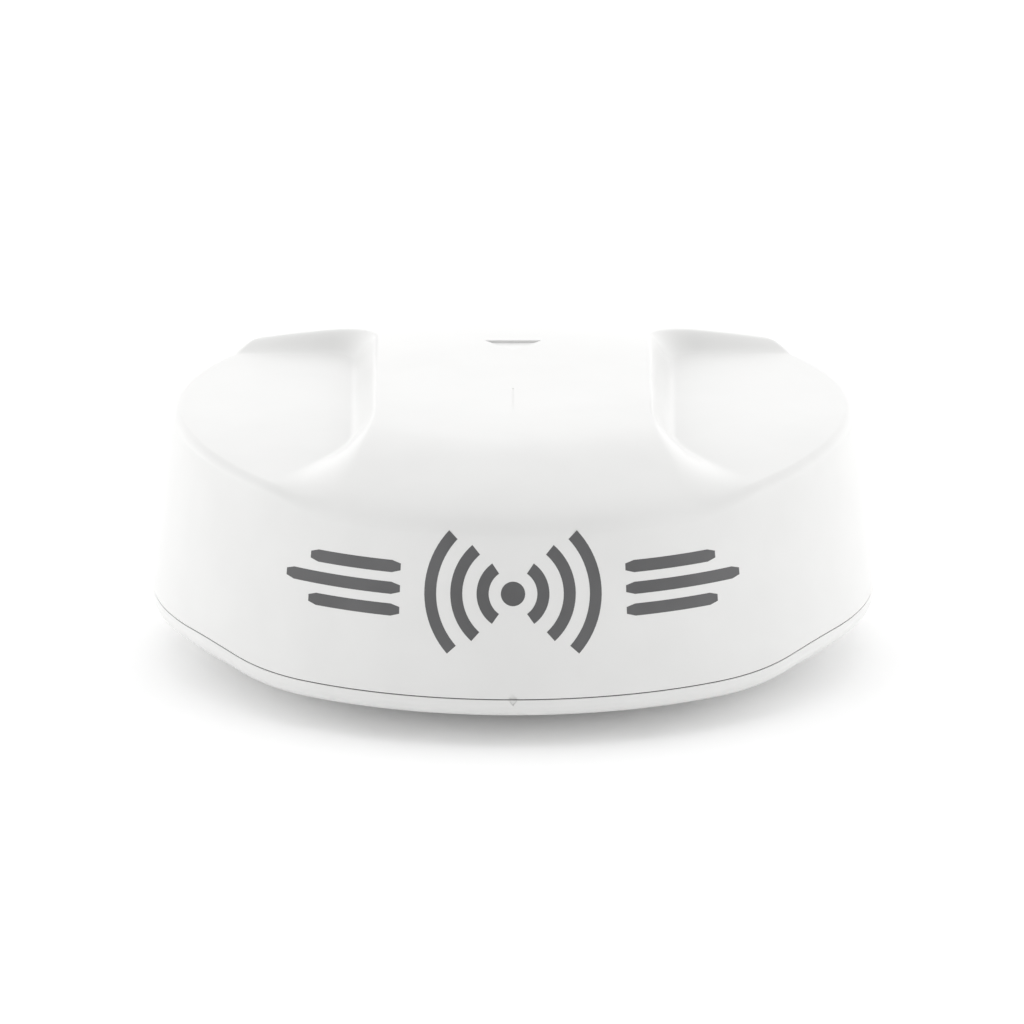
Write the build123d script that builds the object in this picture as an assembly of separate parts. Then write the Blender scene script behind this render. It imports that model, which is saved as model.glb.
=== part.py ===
"""Radar dome antenna for a boat: a two-tier dome cover on a shallow base, with a turning array inside.

Millimetres, +Z up, front towards -Y. The origin is the point on the spin axis at the height of the foot.
"""
from build123d import *
from math import acos, cos, pi, radians, sin, sqrt, tan
import os

os.makedirs("parts", exist_ok=True)

# ---- Overall sizes ----
dome_radius = 322.7          # widest, at the seam
dome_height = 248.0          # foot to the top of the crown
cover_wall = 4.0
base_wall = 4.5

# ---- Outside wall of the cover: straight with draft, then drawn in a little more ----
wall_low_z = 59.0
wall_top_z = dome_height - 32.0
wall_top_radius = dome_radius - 16.7
wall_mid_z = wall_low_z + 0.43 * (wall_top_z - wall_low_z)
wall_mid_radius = dome_radius - 5.3

# ---- Wavy seam: lower at the front and back, higher at the two sides ----
seam_front_z = 44.0
seam_side_z = 57.4
seam_level_y = dome_radius - 172.7    # level at the sides up to this distance from the middle
seam_drop_y = dome_radius - 57.7      # level again beyond this distance
seam_gap = 0.5
lip_height = 17.0
lip_round = 11.0

# ---- Crown and recesses ----
crown_flat_radius = 100.0
crown_edge_radius = dome_radius - 22.7
crown_edge_drop = 18.5
crown_round = 8.0
roll_reach = 120.0           # how far the front roll-over reaches in from the wall
roll_low_z = dome_height - 58.0
roll_half_angle = 35.0
recess_floor_z = dome_height - 26.0
recess_front_z = dome_height - 40.5   # height of the floor where it meets the wall at the front
recess_front_y = 77.7 - dome_radius
recess_inner_x = 122.0
recess_back_y = dome_radius - 135.7
recess_corner = 45.0
recess_flare_x = 164.0
recess_flare_y = 47.7 - dome_radius
recess_flare_start_y = -80.0
recess_slope = 38.0

# ---- Pointing triangle, sight line and seam mark ----
arrow_width = 51.0
arrow_back_y = 118.0
arrow_tip_y = 84.0
arrow_depth = 2.4
sight_width = 1.2
sight_depth = 0.5
sight_from_y = -36.0
sight_to_y = -115.0
mark_width = 8.0
mark_height = 5.0
mark_depth = 0.8

# ---- Flanges, cover screws and seal ----
flange_inner_radius = dome_radius - 35.7
cover_flange_height = 15.0
cover_screw_count = 8
cover_screw_circle = dome_radius - 16.7
cover_screw_radius = 2.9
cover_screw_hole = 3.4
cover_screw_head_radius = 5.5
cover_screw_head_height = 4.0
cover_screw_pocket = 8.0
cover_screw_reach = 11.0
washer_thickness = 1.2
insert_radius = 5.0
insert_bore = 3.3
insert_length = 12.0
seal_circle = flange_inner_radius + 6.0
seal_width = 3.2
seal_depth = 3.0
seal_clearance = 0.35

# ---- Base bowl and foot ----
foot_radius = dome_radius - 100.7
bowl_top_radius = dome_radius - 19.7
bowl_top_drop = lip_height - 3.0      # below the seam's lowest height
foot_hollow_radius = foot_radius - 36.0
foot_hollow_depth = 3.0
floor_z = 8.0

# ---- Mounting bolt pattern ----
mount_spacing_x = 233.0
mount_spacing_y = 141.0
mount_hole_radius = 4.25
mount_insert_radius = 8.0
mount_insert_length = 18.0
mount_boss_radius = 14.0
mount_boss_top_z = 24.0

# ---- Socket pocket under the back ----
pocket_width = 104.0
pocket_front_y = 182.0
pocket_back_y = 238.0
pocket_roof_z = 26.0
socket_spacing = 50.0
socket_y = 210.0
socket_flange_radius = 14.0
socket_barrel_radius = 10.0
socket_bore_radius = 8.0
socket_drop = 16.0
socket_stem_radius = 9.0
socket_nut_radius = 13.0

# ---- Bearings and spindle ----
spindle_radius = 10.0
spindle_bore = 4.6
spindle_low_z = 25.5
spindle_top_z = 118.0
spindle_thread_height = 5.0
shoulder_radius = spindle_radius + 2.5
bearing_outer_radius = 21.0
bearing_width = 12.0
ball_radius = 3.1
ball_count = 9
ball_clearance = 0.35
inner_ring_radius = spindle_radius + 3.2
outer_ring_radius = bearing_outer_radius - 3.1
bearing_pitch = (inner_ring_radius + outer_ring_radius) / 2
lower_bearing_z = 30.0
upper_bearing_z = 64.0
tower_radius = bearing_outer_radius + 9.0
tower_top_z = 80.0
tower_flange_radius = tower_radius + 28.0
tower_flange_thickness = 5.0
tower_seat_z = 14.0
tower_cap_thickness = 5.0
tower_screw_circle = tower_radius + 18.0

# ---- Gear pair ----
gear_module = 1.5
gear_teeth = 80
pinion_teeth = 16
pressure_angle = 20.0
gear_backlash = 0.3
gear_low_z = 89.0
gear_width = 8.0
gear_hub_radius = 20.0
pinion_overhang = 1.0
pinion_shaft_radius = 2.5
centre_distance = gear_module * (gear_teeth + pinion_teeth) / 2

# ---- Motor and bracket ----
motor_side = 42.3
motor_length = 40.0
motor_boss_radius = 11.0
motor_screw_spacing = 31.0
bracket_thickness = 3.0
bracket_width = 50.0
cap_clearance = 2.85          # between the tower's cap and the motor
tower_cap_radius = centre_distance - motor_side / 2 - cap_clearance

# ---- Antenna array ----
array_end_clearance = 7.0    # from the channel's end to the flange
array_top_clearance = 5.0    # under the front roll-over
array_length = 2 * (flange_inner_radius - array_end_clearance)
array_depth = 32.0
spine_thickness = 2.5
board_thickness = 1.6
carrier_length = 190.0
carrier_width = 44.0
carrier_plate = 5.0
carrier_hub_height = 9.0
patch_columns = 26
patch_rows = 3
patch_width = 12.0
patch_height = 14.0
patch_thickness = 0.4
end_cap_thickness = 3.0

# ---- Electronics ----
case_length = 126.0
case_width = 100.0
case_height = 26.0
case_wall = 3.0
case_centre_x = -138.0
case_lid = 2.5
fin_count = 11
fin_height = 12.0
fin_thickness = 2.0
sink_base = 3.0
modem_length = 118.0
modem_width = 96.0
modem_centre_x = 138.0
power_length = 96.0
power_width = 92.0
power_centre_y = -142.0
board_z = 18.0
board_inset = 6.0
standoff_radius = 3.5
screw_gap = 0.05

# ---- Fasteners and small fittings ----
tower_screw_radius = 2.5
tower_screw_reach = 9.0
tower_screw_head = 4.5
bracket_screw_radius = 2.0
motor_screw_radius = 1.5
array_screw_radius = 2.0
board_screw_radius = 1.5
case_screw_radius = 2.0
case_post_radius = 5.0
case_screw_reach = 7.0
ground_screw_radius = 2.5
ground_place = (62.0, 150.0)
vent_stem_radius = 5.0
vent_place = (-62.0, 150.0)
spindle_nut_radius = 15.0
magnet_radius = 3.0
magnet_circle = 41.0
rf_lead_z = 22.0
rf_lead_radius = 1.8

# ---- Sizes that follow from the others ----
case_low_z = floor_z + 4.0
tower_bore = outer_ring_radius - 0.9
gear_hub_drop = 5.0
gear_hole_circle = 38.0
gear_hole_radius = 11.0
motor_shaft_low_z = tower_top_z - 10.0
bracket_front_y = bearing_outer_radius + 6.0
carrier_low_z = gear_low_z + gear_width + 2.0
array_low_z = carrier_low_z + carrier_hub_height + carrier_plate
array_height = roll_low_z - array_top_clearance - array_low_z

far = dome_radius + 77.3     # reaches past the object in any direction


# ---- Small helpers ----
def save(name, *solids):
    """Write one node, made of one or more separate solids."""
    group = solids[0] if len(solids) == 1 else Compound(children=list(solids))
    group.label = name
    export_step(group, f"parts/{name}.step")


def rod(radius, low, high, x=0.0, y=0.0):
    """Upright round bar between two heights."""
    return Pos(x, y, (low + high) / 2) * Cylinder(radius, high - low)


def tube(outer, inner, low, high, x=0.0, y=0.0):
    """Upright round tube between two heights."""
    return rod(outer, low, high, x, y) - rod(inner, low - 1, high + 1, x, y)


def block(x0, x1, y0, y1, z0, z1):
    """Square block between two corners."""
    return Pos((x0 + x1) / 2, (y0 + y1) / 2, (z0 + z1) / 2) * Box(x1 - x0, y1 - y0, z1 - z0)


def around(radius, count, start=0.0):
    """Places spaced evenly on a circle about the spin axis."""
    places = []
    for index in range(count):
        angle = radians(start + index * 360 / count)
        places.append((radius * cos(angle), radius * sin(angle)))
    return places


def corners(half_x, half_y, x=0.0, y=0.0):
    """The four corners of a rectangle."""
    return [(x + sx * half_x, y + sy * half_y) for sx in (-1, 1) for sy in (-1, 1)]


def turned(points):
    """Solid of revolution about the spin axis from radius and height points."""
    outline = Polyline(*[(r, 0, z) for r, z in points], close=True)
    return revolve(make_face(outline), Axis.Z)


def pan_screw(x, y, seat_z, radius, length, head_radius, head_height, up=True):
    """Screw with a low round head and a hexagon socket; the shank is above the seat if up is False."""
    shank = rod(radius, seat_z - length, seat_z, x, y)
    head = rod(head_radius, seat_z, seat_z + head_height, x, y)
    rim = head.edges().filter_by(GeomType.CIRCLE).sort_by(Axis.Z)[-1]
    head = fillet(rim, head_height * 0.35)
    key = extrude(RegularPolygon(head_radius * 0.5, 6), head_height)
    head = head - Pos(x, y, seat_z + head_height * 0.45) * key
    screw = head + shank
    if not up:
        screw = Pos(0, 0, 2 * seat_z) * mirror(screw, Plane.XY)
    return screw


# ---- Seam ----
def seam_z(y):
    """Height of the seam at a distance y from the middle plane."""
    span = seam_drop_y - seam_level_y
    rise = seam_side_z - seam_front_z
    bend = (span * span + rise * rise) / (4 * rise)
    out = min(max(abs(y) - seam_level_y, 0.0), span)
    if out <= span / 2:
        return seam_side_z - (bend - sqrt(bend * bend - out * out))
    return seam_front_z + (bend - sqrt(bend * bend - (span - out) ** 2))


def below_seam(shift):
    """Everything under the seam surface moved up by shift."""
    side = seam_side_z + shift
    front = seam_front_z + shift
    middle_y = (seam_level_y + seam_drop_y) / 2
    middle_z = (side + front) / 2
    flat = Line((0, -seam_level_y, side), (0, seam_level_y, side))
    right_top = TangentArc((0, seam_level_y, side), (0, middle_y, middle_z), tangent=(0, 1, 0))
    right_low = TangentArc((0, seam_drop_y, front), (0, middle_y, middle_z), tangent=(0, -1, 0))
    left_top = TangentArc((0, -seam_level_y, side), (0, -middle_y, middle_z), tangent=(0, -1, 0))
    left_low = TangentArc((0, -seam_drop_y, front), (0, -middle_y, middle_z), tangent=(0, 1, 0))
    rest = Polyline((0, seam_drop_y, front), (0, far, front), (0, far, -far), (0, -far, -far),
                    (0, -far, front), (0, -seam_drop_y, front))
    face = make_face([flat, right_top, right_low, rest, left_low, left_top])
    return extrude(face, far, dir=(1, 0, 0), both=True)


# ---- Dome shape, used for the outside and, moved in by the wall, for the inside ----
def wall_circle():
    """Centre radius, centre height and radius of the arc through the wall's three given points."""
    ax, az = dome_radius, wall_low_z
    bx, bz = wall_mid_radius, wall_mid_z
    cx, cz = wall_top_radius, wall_top_z
    cross = 2 * (ax * (bz - cz) + bx * (cz - az) + cx * (az - bz))
    aa = ax * ax + az * az
    bb = bx * bx + bz * bz
    cc = cx * cx + cz * cz
    centre_r = (aa * (bz - cz) + bb * (cz - az) + cc * (az - bz)) / cross
    centre_z = (aa * (cx - bx) + bb * (ax - cx) + cc * (bx - ax)) / cross
    return centre_r, centre_z, sqrt((ax - centre_r) ** 2 + (az - centre_z) ** 2)


def wall_radius(z):
    """Radius of the outside wall at a height."""
    if z < wall_low_z:
        return dome_radius
    centre_r, centre_z, arc = wall_circle()
    return centre_r + sqrt(arc * arc - (z - centre_z) ** 2)


def wall_slope(z):
    """Change of the wall's radius with height."""
    centre_r, centre_z, arc = wall_circle()
    return -(z - centre_z) / sqrt(arc * arc - (z - centre_z) ** 2)


def crown_z(radius):
    """Height of the gently domed crown at a radius."""
    out = max(radius - crown_flat_radius, 0.0)
    reach = crown_edge_radius - crown_flat_radius
    return dome_height - crown_edge_drop * (out / reach) ** 2


def crown_slope(radius):
    """Change of the crown's height with radius."""
    out = max(radius - crown_flat_radius, 0.0)
    return -2 * crown_edge_drop * out / (crown_edge_radius - crown_flat_radius) ** 2


def dome_profile(inset):
    """Wall, tight rounding and gently domed crown, as a face to revolve."""
    top = dome_height - inset
    edge = (crown_edge_radius - inset, 0, crown_z(crown_edge_radius) - inset)
    wall_end_z = edge[2] - crown_round
    low = (dome_radius - inset, 0, wall_low_z)
    middle_z = (wall_low_z + wall_end_z) / 2
    middle = (wall_radius(middle_z) - inset, 0, middle_z)
    end = (wall_radius(wall_end_z) - inset, 0, wall_end_z)
    flat_end = (crown_flat_radius, 0, top)
    wall = ThreePointArc(low, middle, end)
    rising = (wall_slope(wall_end_z), 0, 1)
    inward = (-1, 0, -crown_slope(crown_edge_radius))
    rounding = Spline(end, edge, tangents=[rising, inward])
    dome = TangentArc(flat_end, edge, tangent=(1, 0, 0))
    close = Polyline(flat_end, (0, 0, top), (0, 0, 0), (dome_radius - inset, 0, 0), low)
    return make_face([wall, rounding, dome, close])


def roll_cutter(inset):
    """What the slow roll-over at the front takes off the dome, within its sector."""
    start_radius = wall_radius(roll_low_z) - roll_reach
    start = (start_radius, 0, crown_z(start_radius) - inset)
    end = (wall_radius(roll_low_z) - inset, 0, roll_low_z)
    roll = Spline(start, end, tangents=[(1, 0, crown_slope(start_radius)), (-wall_slope(roll_low_z), 0, -1)])
    outside = Polyline(end, (far, 0, roll_low_z), (far, 0, far), (start_radius, 0, far), start)
    ring = revolve(make_face([roll, outside]), Axis.Z)
    reach = far * tan(radians(roll_half_angle))
    sector = extrude(make_face(Polyline((0, 0), (reach, -far), (-reach, -far), close=True)), far)
    return ring & sector


def recess_plan(inset):
    """Plan outline of one recess, at the height of the crown."""
    inner = recess_inner_x - inset
    back = recess_back_y + inset
    start = (inner, recess_flare_start_y)
    flare_end = (recess_flare_x - inset, recess_flare_y)
    corner_end = (inner + recess_corner, back)
    side = Line(start, (inner, back - recess_corner))
    corner = TangentArc((inner, back - recess_corner), corner_end, tangent=(0, 1))
    flare = TangentArc(start, flare_end, tangent=(0, -1))
    rest = Polyline(corner_end, (far, back), (far, recess_flare_y), flare_end)
    return make_face([side, corner, rest, flare])


def above_recess_floor(inset):
    """Everything above the recess floor: level at the back, falling gently to the front."""
    level = recess_floor_z - inset
    front = recess_front_z - inset
    back_line = Line((0, far, level), (0, 0, level))
    fall = TangentArc((0, 0, level), (0, recess_front_y, front), tangent=(0, -1, 0))
    rest = Polyline((0, recess_front_y, front), (0, -far, front), (0, -far, far), (0, far, far),
                    (0, far, level))
    return extrude(make_face([back_line, fall, rest]), far, dir=(1, 0, 0), both=True)


def recess_cutter(inset):
    """Both recesses, with sloping sides."""
    top = dome_height + 2
    plan = Pos(0, 0, top) * recess_plan(inset)
    one = extrude(plan, top - recess_front_z + cover_wall + 2, dir=(0, 0, -1), taper=recess_slope)
    one = one & above_recess_floor(inset)
    return one + mirror(one, Plane.YZ)


def dome_solid(inset):
    """The whole dome, moved in by inset."""
    dome = revolve(dome_profile(inset), Axis.Z)
    dome = dome - roll_cutter(inset)
    return dome - recess_cutter(inset)


# ---- Cover and its inserts ----
def flange_band(radius, low_shift, high_shift):
    """Ring that follows the seam, between two shifts from it, out to a radius."""
    ring = tube(radius, flange_inner_radius, 0, dome_height)
    return (ring - below_seam(low_shift)) & below_seam(high_shift)


def screw_places():
    """Places of the cover screws, clear of the rises in the seam."""
    return around(cover_screw_circle, cover_screw_count, 180 / cover_screw_count)


def arrow_pocket():
    """Triangle sunk in the crown, deepest at its back edge."""
    half = arrow_width / 2
    plan = Polyline((-half, arrow_back_y), (half, arrow_back_y), (0, arrow_tip_y), close=True)
    prism = Pos(0, 0, dome_height - cover_wall) * extrude(make_face(plan), 2 * cover_wall)
    top = dome_height + 1
    side = Polyline((0, arrow_tip_y, dome_height), (0, arrow_back_y, dome_height - arrow_depth),
                    (0, arrow_back_y, top), (0, arrow_tip_y, top), close=True)
    return prism & extrude(make_face(side), far, dir=(1, 0, 0), both=True)


def seam_mark(direction):
    """Small triangle sunk in the front wall at the seam, pointing up or down."""
    start = seam_front_z + direction * seam_gap / 2
    half = mark_width / 2
    front_y = -dome_radius - 1
    tip = start + direction * mark_height
    plan = Polyline((-half, front_y, start), (half, front_y, start), (0, front_y, tip), close=True)
    return extrude(make_face(plan), mark_depth + 1, dir=(0, 1, 0))


def make_cover():
    """Moulded cover with its flange, recesses and marks."""
    shell = (dome_solid(0.0) - dome_solid(cover_wall)) - below_seam(seam_gap / 2)
    cover = shell + flange_band(dome_radius - cover_wall / 2, seam_gap / 2, cover_flange_height)
    for x, y in screw_places():
        seam = seam_z(y)
        cover = cover - rod(insert_radius, seam - 2, seam + insert_length + 1.5, x, y)
    length = sight_from_y - sight_to_y
    sight = Pos(0, (sight_from_y + sight_to_y) / 2, dome_height) * Box(sight_width, length, 2 * sight_depth)
    return cover - arrow_pocket() - sight - seam_mark(1)


def make_cover_inserts():
    """Brass inserts that the cover screws turn into."""
    inserts = []
    for x, y in screw_places():
        low = seam_z(y) + 1.5
        inserts.append(tube(insert_radius, insert_bore, low, low + insert_length, x, y))
    return inserts


# ---- Base ----
def mount_places():
    """Places of the four mounting inserts."""
    return corners(mount_spacing_x / 2, mount_spacing_y / 2)


def case_screw_places():
    """Corner screws of the transceiver case."""
    return corners(case_length / 2 - board_inset, case_width / 2 - board_inset, case_centre_x)


def board_screw_places():
    """Corner screws of the two boards."""
    modem = corners(modem_length / 2 - board_inset, modem_width / 2 - board_inset, modem_centre_x)
    power = corners(power_length / 2 - board_inset, power_width / 2 - board_inset, 0, power_centre_y)
    return modem + power


def tower_screw_places():
    """Screws of the tower's foot flange."""
    return around(tower_screw_circle, 4, 45)


def socket_places():
    """The two sockets under the back."""
    return [(-socket_spacing / 2, socket_y), (socket_spacing / 2, socket_y)]


def base_outside():
    """Bowl and lip, up to the seam."""
    lip = rod(dome_radius, 0, dome_height) - below_seam(-lip_height)
    low_edges = lip.edges().filter_by(lambda edge: edge.center().Z < seam_side_z)
    lip = fillet(low_edges, lip_round) & below_seam(-seam_gap / 2)
    bowl_top = seam_front_z - bowl_top_drop
    bowl = turned([(0, 0), (foot_radius, 0), (bowl_top_radius, bowl_top), (bowl_top_radius, dome_height),
                   (0, dome_height)])
    return lip + (bowl & below_seam(-seam_gap / 2))


def pocket_block(grow, low, high):
    """Block round the socket pocket, larger by grow on each side."""
    half = pocket_width / 2 + grow
    return block(-half, half, pocket_front_y - grow, pocket_back_y + grow, low, high)


def make_base():
    """Lower moulding with its bosses, seal groove, socket pocket and foot."""
    outside = base_outside()
    hollow_top = seam_front_z - bowl_top_drop - 1
    hollow = turned([(0, floor_z), (foot_radius - 6, floor_z), (flange_inner_radius, hollow_top),
                     (flange_inner_radius, dome_height), (0, dome_height)])
    base = outside - hollow
    base = base + (pocket_block(base_wall, 0, pocket_roof_z + base_wall) & outside)
    base = base - pocket_block(0, -1, pocket_roof_z)
    base = base + rod(tower_flange_radius, floor_z - 1, tower_seat_z)
    foot_hollow = rod(foot_hollow_radius, -1, foot_hollow_depth)
    for x, y in mount_places():
        base = base + rod(mount_boss_radius, floor_z - 1, mount_boss_top_z, x, y)
        foot_hollow = foot_hollow - rod(mount_boss_radius, -2, far, x, y)
    base = base - (foot_hollow - pocket_block(base_wall, -2, far))
    for x, y in mount_places():
        base = base - rod(mount_insert_radius, -1, mount_insert_length, x, y)
        base = base - rod(mount_hole_radius, 0, mount_insert_length + 2, x, y)
    for x, y in case_screw_places():
        base = base + rod(case_post_radius, floor_z - 1, case_low_z, x, y)
        base = base - rod(case_screw_radius, case_low_z - case_screw_reach, case_low_z + 1, x, y)
    for x, y in tower_screw_places():
        base = base - rod(tower_screw_radius, tower_seat_z - tower_screw_reach, tower_seat_z + 1, x, y)
    for x, y in socket_places():
        base = base - rod(socket_stem_radius, pocket_roof_z - 1, pocket_roof_z + base_wall + 1, x, y)
    for x, y in screw_places():
        seat = seam_z(y) - cover_screw_pocket
        base = base - rod(cover_screw_hole, seat - 1, seat + lip_height, x, y)
        base = base - rod(cover_screw_head_radius + 1, -1, seat, x, y)
    base = base - (seal_tube() - below_seam(-seal_depth))
    base = base - rod(ground_screw_radius, 0, floor_z - 1, *ground_place)
    base = base - rod(vent_stem_radius, 0, floor_z + 1, *vent_place)
    return base - seam_mark(-1)


def seal_tube():
    """Upright ring with the seal's width."""
    return tube(seal_circle + seal_width / 2, seal_circle - seal_width / 2, 0, dome_height)


def make_seal():
    """Seal that lies in the groove along the seam."""
    return (seal_tube() - below_seam(-seal_depth)) & below_seam(seam_gap / 2 - seal_clearance)


def make_cover_screws():
    """Captive cover screws and their sealing washers, from below."""
    screws = []
    washers = []
    for x, y in screw_places():
        seat = seam_z(y) - cover_screw_pocket
        under_head = seat - washer_thickness
        length = cover_screw_pocket + washer_thickness + cover_screw_reach
        screws.append(pan_screw(x, y, under_head, cover_screw_radius, length, cover_screw_head_radius,
                                cover_screw_head_height, up=False))
        washers.append(tube(cover_screw_head_radius, cover_screw_radius, under_head, seat, x, y))
    return screws, washers


def make_mounting_inserts():
    """Threaded inserts for the mounting bolts."""
    inserts = []
    for x, y in mount_places():
        inserts.append(tube(mount_insert_radius, mount_hole_radius, 0, mount_insert_length, x, y))
    return inserts


def make_socket(x, y, pins):
    """Panel socket pointing down into the pocket, with its contacts."""
    roof = pocket_roof_z
    socket = rod(socket_flange_radius, roof - 3, roof, x, y)
    socket = socket + tube(socket_barrel_radius, socket_bore_radius, roof - socket_drop, roof - 3, x, y)
    socket = socket + rod(socket_stem_radius, roof, roof + base_wall + 8, x, y)
    for px, py in pins:
        socket = socket + rod(0.8, roof - socket_drop + 3, roof - 3, x + px, y + py)
    return socket


def make_socket_nut(x, y):
    """Nut that holds a socket from inside."""
    low = pocket_roof_z + base_wall
    nut = Pos(0, 0, low) * extrude(RegularPolygon(socket_nut_radius, 6), 4)
    return Pos(x, y, 0) * nut - rod(socket_stem_radius, low - 1, low + 6, x, y)


# ---- Bearing tower, bearings and spindle ----
def make_tower():
    """Pedestal that holds the two bearings."""
    foot_top = tower_seat_z + tower_flange_thickness
    cap_low = tower_top_z - tower_cap_thickness
    tower = turned([(tower_bore, tower_seat_z), (tower_flange_radius, tower_seat_z),
                    (tower_flange_radius, foot_top), (tower_radius, foot_top), (tower_radius, cap_low),
                    (tower_cap_radius, cap_low),
                    (tower_cap_radius, tower_top_z), (bearing_outer_radius, tower_top_z),
                    (bearing_outer_radius, upper_bearing_z), (tower_bore, upper_bearing_z),
                    (tower_bore, lower_bearing_z + bearing_width),
                    (bearing_outer_radius, lower_bearing_z + bearing_width),
                    (bearing_outer_radius, lower_bearing_z), (tower_bore, lower_bearing_z)])
    for index in range(6):
        rib = block(tower_radius - 3, tower_flange_radius - 3, -2, 2, foot_top - 1, cap_low + 1)
        slope = Polyline((tower_flange_radius - 3, 0, foot_top + 2), (tower_radius + 2, 0, cap_low / 2 + 12),
                         (tower_radius + 2, 0, far), (far, 0, far), (far, 0, foot_top + 2), close=True)
        rib = rib - extrude(make_face(slope), 5, dir=(0, 1, 0), both=True)
        tower = tower + Rot(0, 0, 30 + 60 * index) * rib
    for x, y in tower_screw_places():
        tower = tower - rod(tower_screw_radius, tower_seat_z - 1, foot_top + 1, x, y)
        tower = tower - rod(tower_screw_head + 1, foot_top, cap_low - 1, x, y)
    for x, y in bracket_screw_places():
        tower = tower - rod(bracket_screw_radius, cap_low - 1, tower_top_z + 1, x, y)
    lead_hole = Rot(0, 90, 0) * Cylinder(rf_lead_radius + 1, 3 * tower_radius / 2)
    return tower - Pos(-tower_radius, 0, rf_lead_z) * lead_hole


def bearing_groove(low_z, radius):
    """Track that the balls run in."""
    return Pos(0, 0, low_z + bearing_width / 2) * Torus(bearing_pitch, radius)


def make_bearings():
    """Outer rings, inner rings and balls of the two bearings."""
    outer = []
    inner = []
    balls = []
    for low in (lower_bearing_z, upper_bearing_z):
        high = low + bearing_width
        ring = tube(bearing_outer_radius, outer_ring_radius, low, high)
        outer.append(ring - bearing_groove(low, ball_radius + ball_clearance))
        ring = tube(inner_ring_radius, spindle_radius, low, high)
        inner.append(ring - bearing_groove(low, ball_radius + screw_gap))
        for x, y in around(bearing_pitch, ball_count):
            balls.append(Pos(x, y, low + bearing_width / 2) * Sphere(ball_radius))
    return outer, inner, balls


def make_spindle():
    """Hollow shaft with a shoulder between the upper bearing and the gear."""
    shoulder_low = upper_bearing_z + bearing_width
    shoulder_high = gear_low_z - gear_hub_drop
    return turned([(spindle_bore, spindle_low_z), (spindle_radius, spindle_low_z),
                   (spindle_radius, shoulder_low), (shoulder_radius, shoulder_low),
                   (shoulder_radius, shoulder_high), (spindle_radius, shoulder_high),
                   (spindle_radius, spindle_top_z), (spindle_bore, spindle_top_z)])


# ---- Gears ----
def involute(angle):
    """Involute of an angle in radians."""
    return tan(angle) - angle


def gear_face(teeth, phase):
    """Outline of a gear with involute flanks, one tooth centred at phase degrees."""
    pitch = gear_module * teeth / 2
    base = pitch * cos(radians(pressure_angle))
    tip = pitch + gear_module
    root = pitch - 1.25 * gear_module
    half_pitch = (pi * gear_module / 2 - gear_backlash / 2) / (2 * pitch)
    start = max(base, root) + 0.01
    steps = 4

    def flank_half(radius):
        return half_pitch + involute(radians(pressure_angle)) - involute(acos(base / radius))

    def place(radius, angle):
        return (radius * cos(angle), radius * sin(angle))

    edges = []
    flank = [start + (tip - start) * index / (steps - 1) for index in range(steps)]
    root_half = flank_half(start)
    for tooth in range(teeth):
        middle = radians(phase) + 2 * pi * tooth / teeth
        following = middle + 2 * pi / teeth
        rising = [place(radius, middle - flank_half(radius)) for radius in flank]
        falling = [place(radius, middle + flank_half(radius)) for radius in reversed(flank)]
        root_start = place(root, middle - root_half)
        root_end = place(root, middle + root_half)
        next_root = place(root, following - root_half)
        edges.append(Line(root_start, rising[0]))
        edges.append(Spline(*rising))
        edges.append(ThreePointArc(rising[-1], place(tip, middle), falling[0]))
        edges.append(Spline(*falling))
        edges.append(Line(falling[-1], root_end))
        edges.append(ThreePointArc(root_end, place(root, (middle + following) / 2), next_root))
    return make_face(edges)


def make_drive_gear():
    """Large gear with its hub and lightening holes."""
    gear = Pos(0, 0, gear_low_z) * extrude(gear_face(gear_teeth, 90 + 180 / gear_teeth), gear_width)
    gear = gear + rod(gear_hub_radius, gear_low_z - gear_hub_drop, gear_low_z + gear_width + 2)
    gear = gear - rod(spindle_radius, 0, far)
    for x, y in around(gear_hole_circle, 6):
        gear = gear - rod(gear_hole_radius, 0, far, x, y)
    return gear - rod(magnet_radius, gear_low_z - 1, gear_low_z + 2, 0, -magnet_circle)


def make_pinion():
    """Small gear on the motor shaft, meshing with the large gear."""
    pinion = extrude(gear_face(pinion_teeth, -90), gear_width + 2 * pinion_overhang)
    pinion = Pos(0, centre_distance, gear_low_z - pinion_overhang) * pinion
    return pinion - rod(pinion_shaft_radius, 0, far, 0, centre_distance)


# ---- Motor ----
def bracket_screw_places():
    """Screws that hold the motor bracket on the tower."""
    return [(-18.0, 36.0), (18.0, 36.0)]


def motor_screw_places():
    """Screws that hold the motor under its bracket."""
    half = motor_screw_spacing / 2
    return corners(half, half, 0, centre_distance)


def make_motor():
    """Square stepping motor with its boss, hung under the bracket."""
    half = motor_side / 2
    low = tower_top_z - motor_length
    body = block(-half, half, centre_distance - half, centre_distance + half, low, tower_top_z)
    body = chamfer(body.edges().filter_by(Axis.Z), 4)
    for height in (low + 8, tower_top_z - 10):
        groove = block(-far, far, -far, far, height, height + 1)
        inside = half - 0.6
        near = centre_distance - inside
        core = block(-inside, inside, near, near + 2 * inside, height - 1, height + 2)
        groove = groove - core
        body = body - groove
    body = body + rod(motor_boss_radius, tower_top_z, tower_top_z + 2, 0, centre_distance)
    body = body - rod(pinion_shaft_radius + 0.3, motor_shaft_low_z - 0.5, far, 0, centre_distance)
    for x, y in motor_screw_places():
        body = body - rod(motor_screw_radius, tower_top_z - 5, far, x, y)
    return body


def make_motor_bracket():
    """Plate that carries the motor beside the tower."""
    half = bracket_width / 2
    high = tower_top_z + bracket_thickness
    plate = block(-half, half, bracket_front_y, centre_distance + half, tower_top_z, high)
    plate = fillet(plate.edges().filter_by(Axis.Z), 5)
    plate = plate - rod(motor_boss_radius, 0, far, 0, centre_distance)
    for x, y in motor_screw_places():
        plate = plate - rod(motor_screw_radius, 0, far, x, y)
    for x, y in bracket_screw_places():
        plate = plate - rod(bracket_screw_radius, 0, far, x, y)
    return plate


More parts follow.
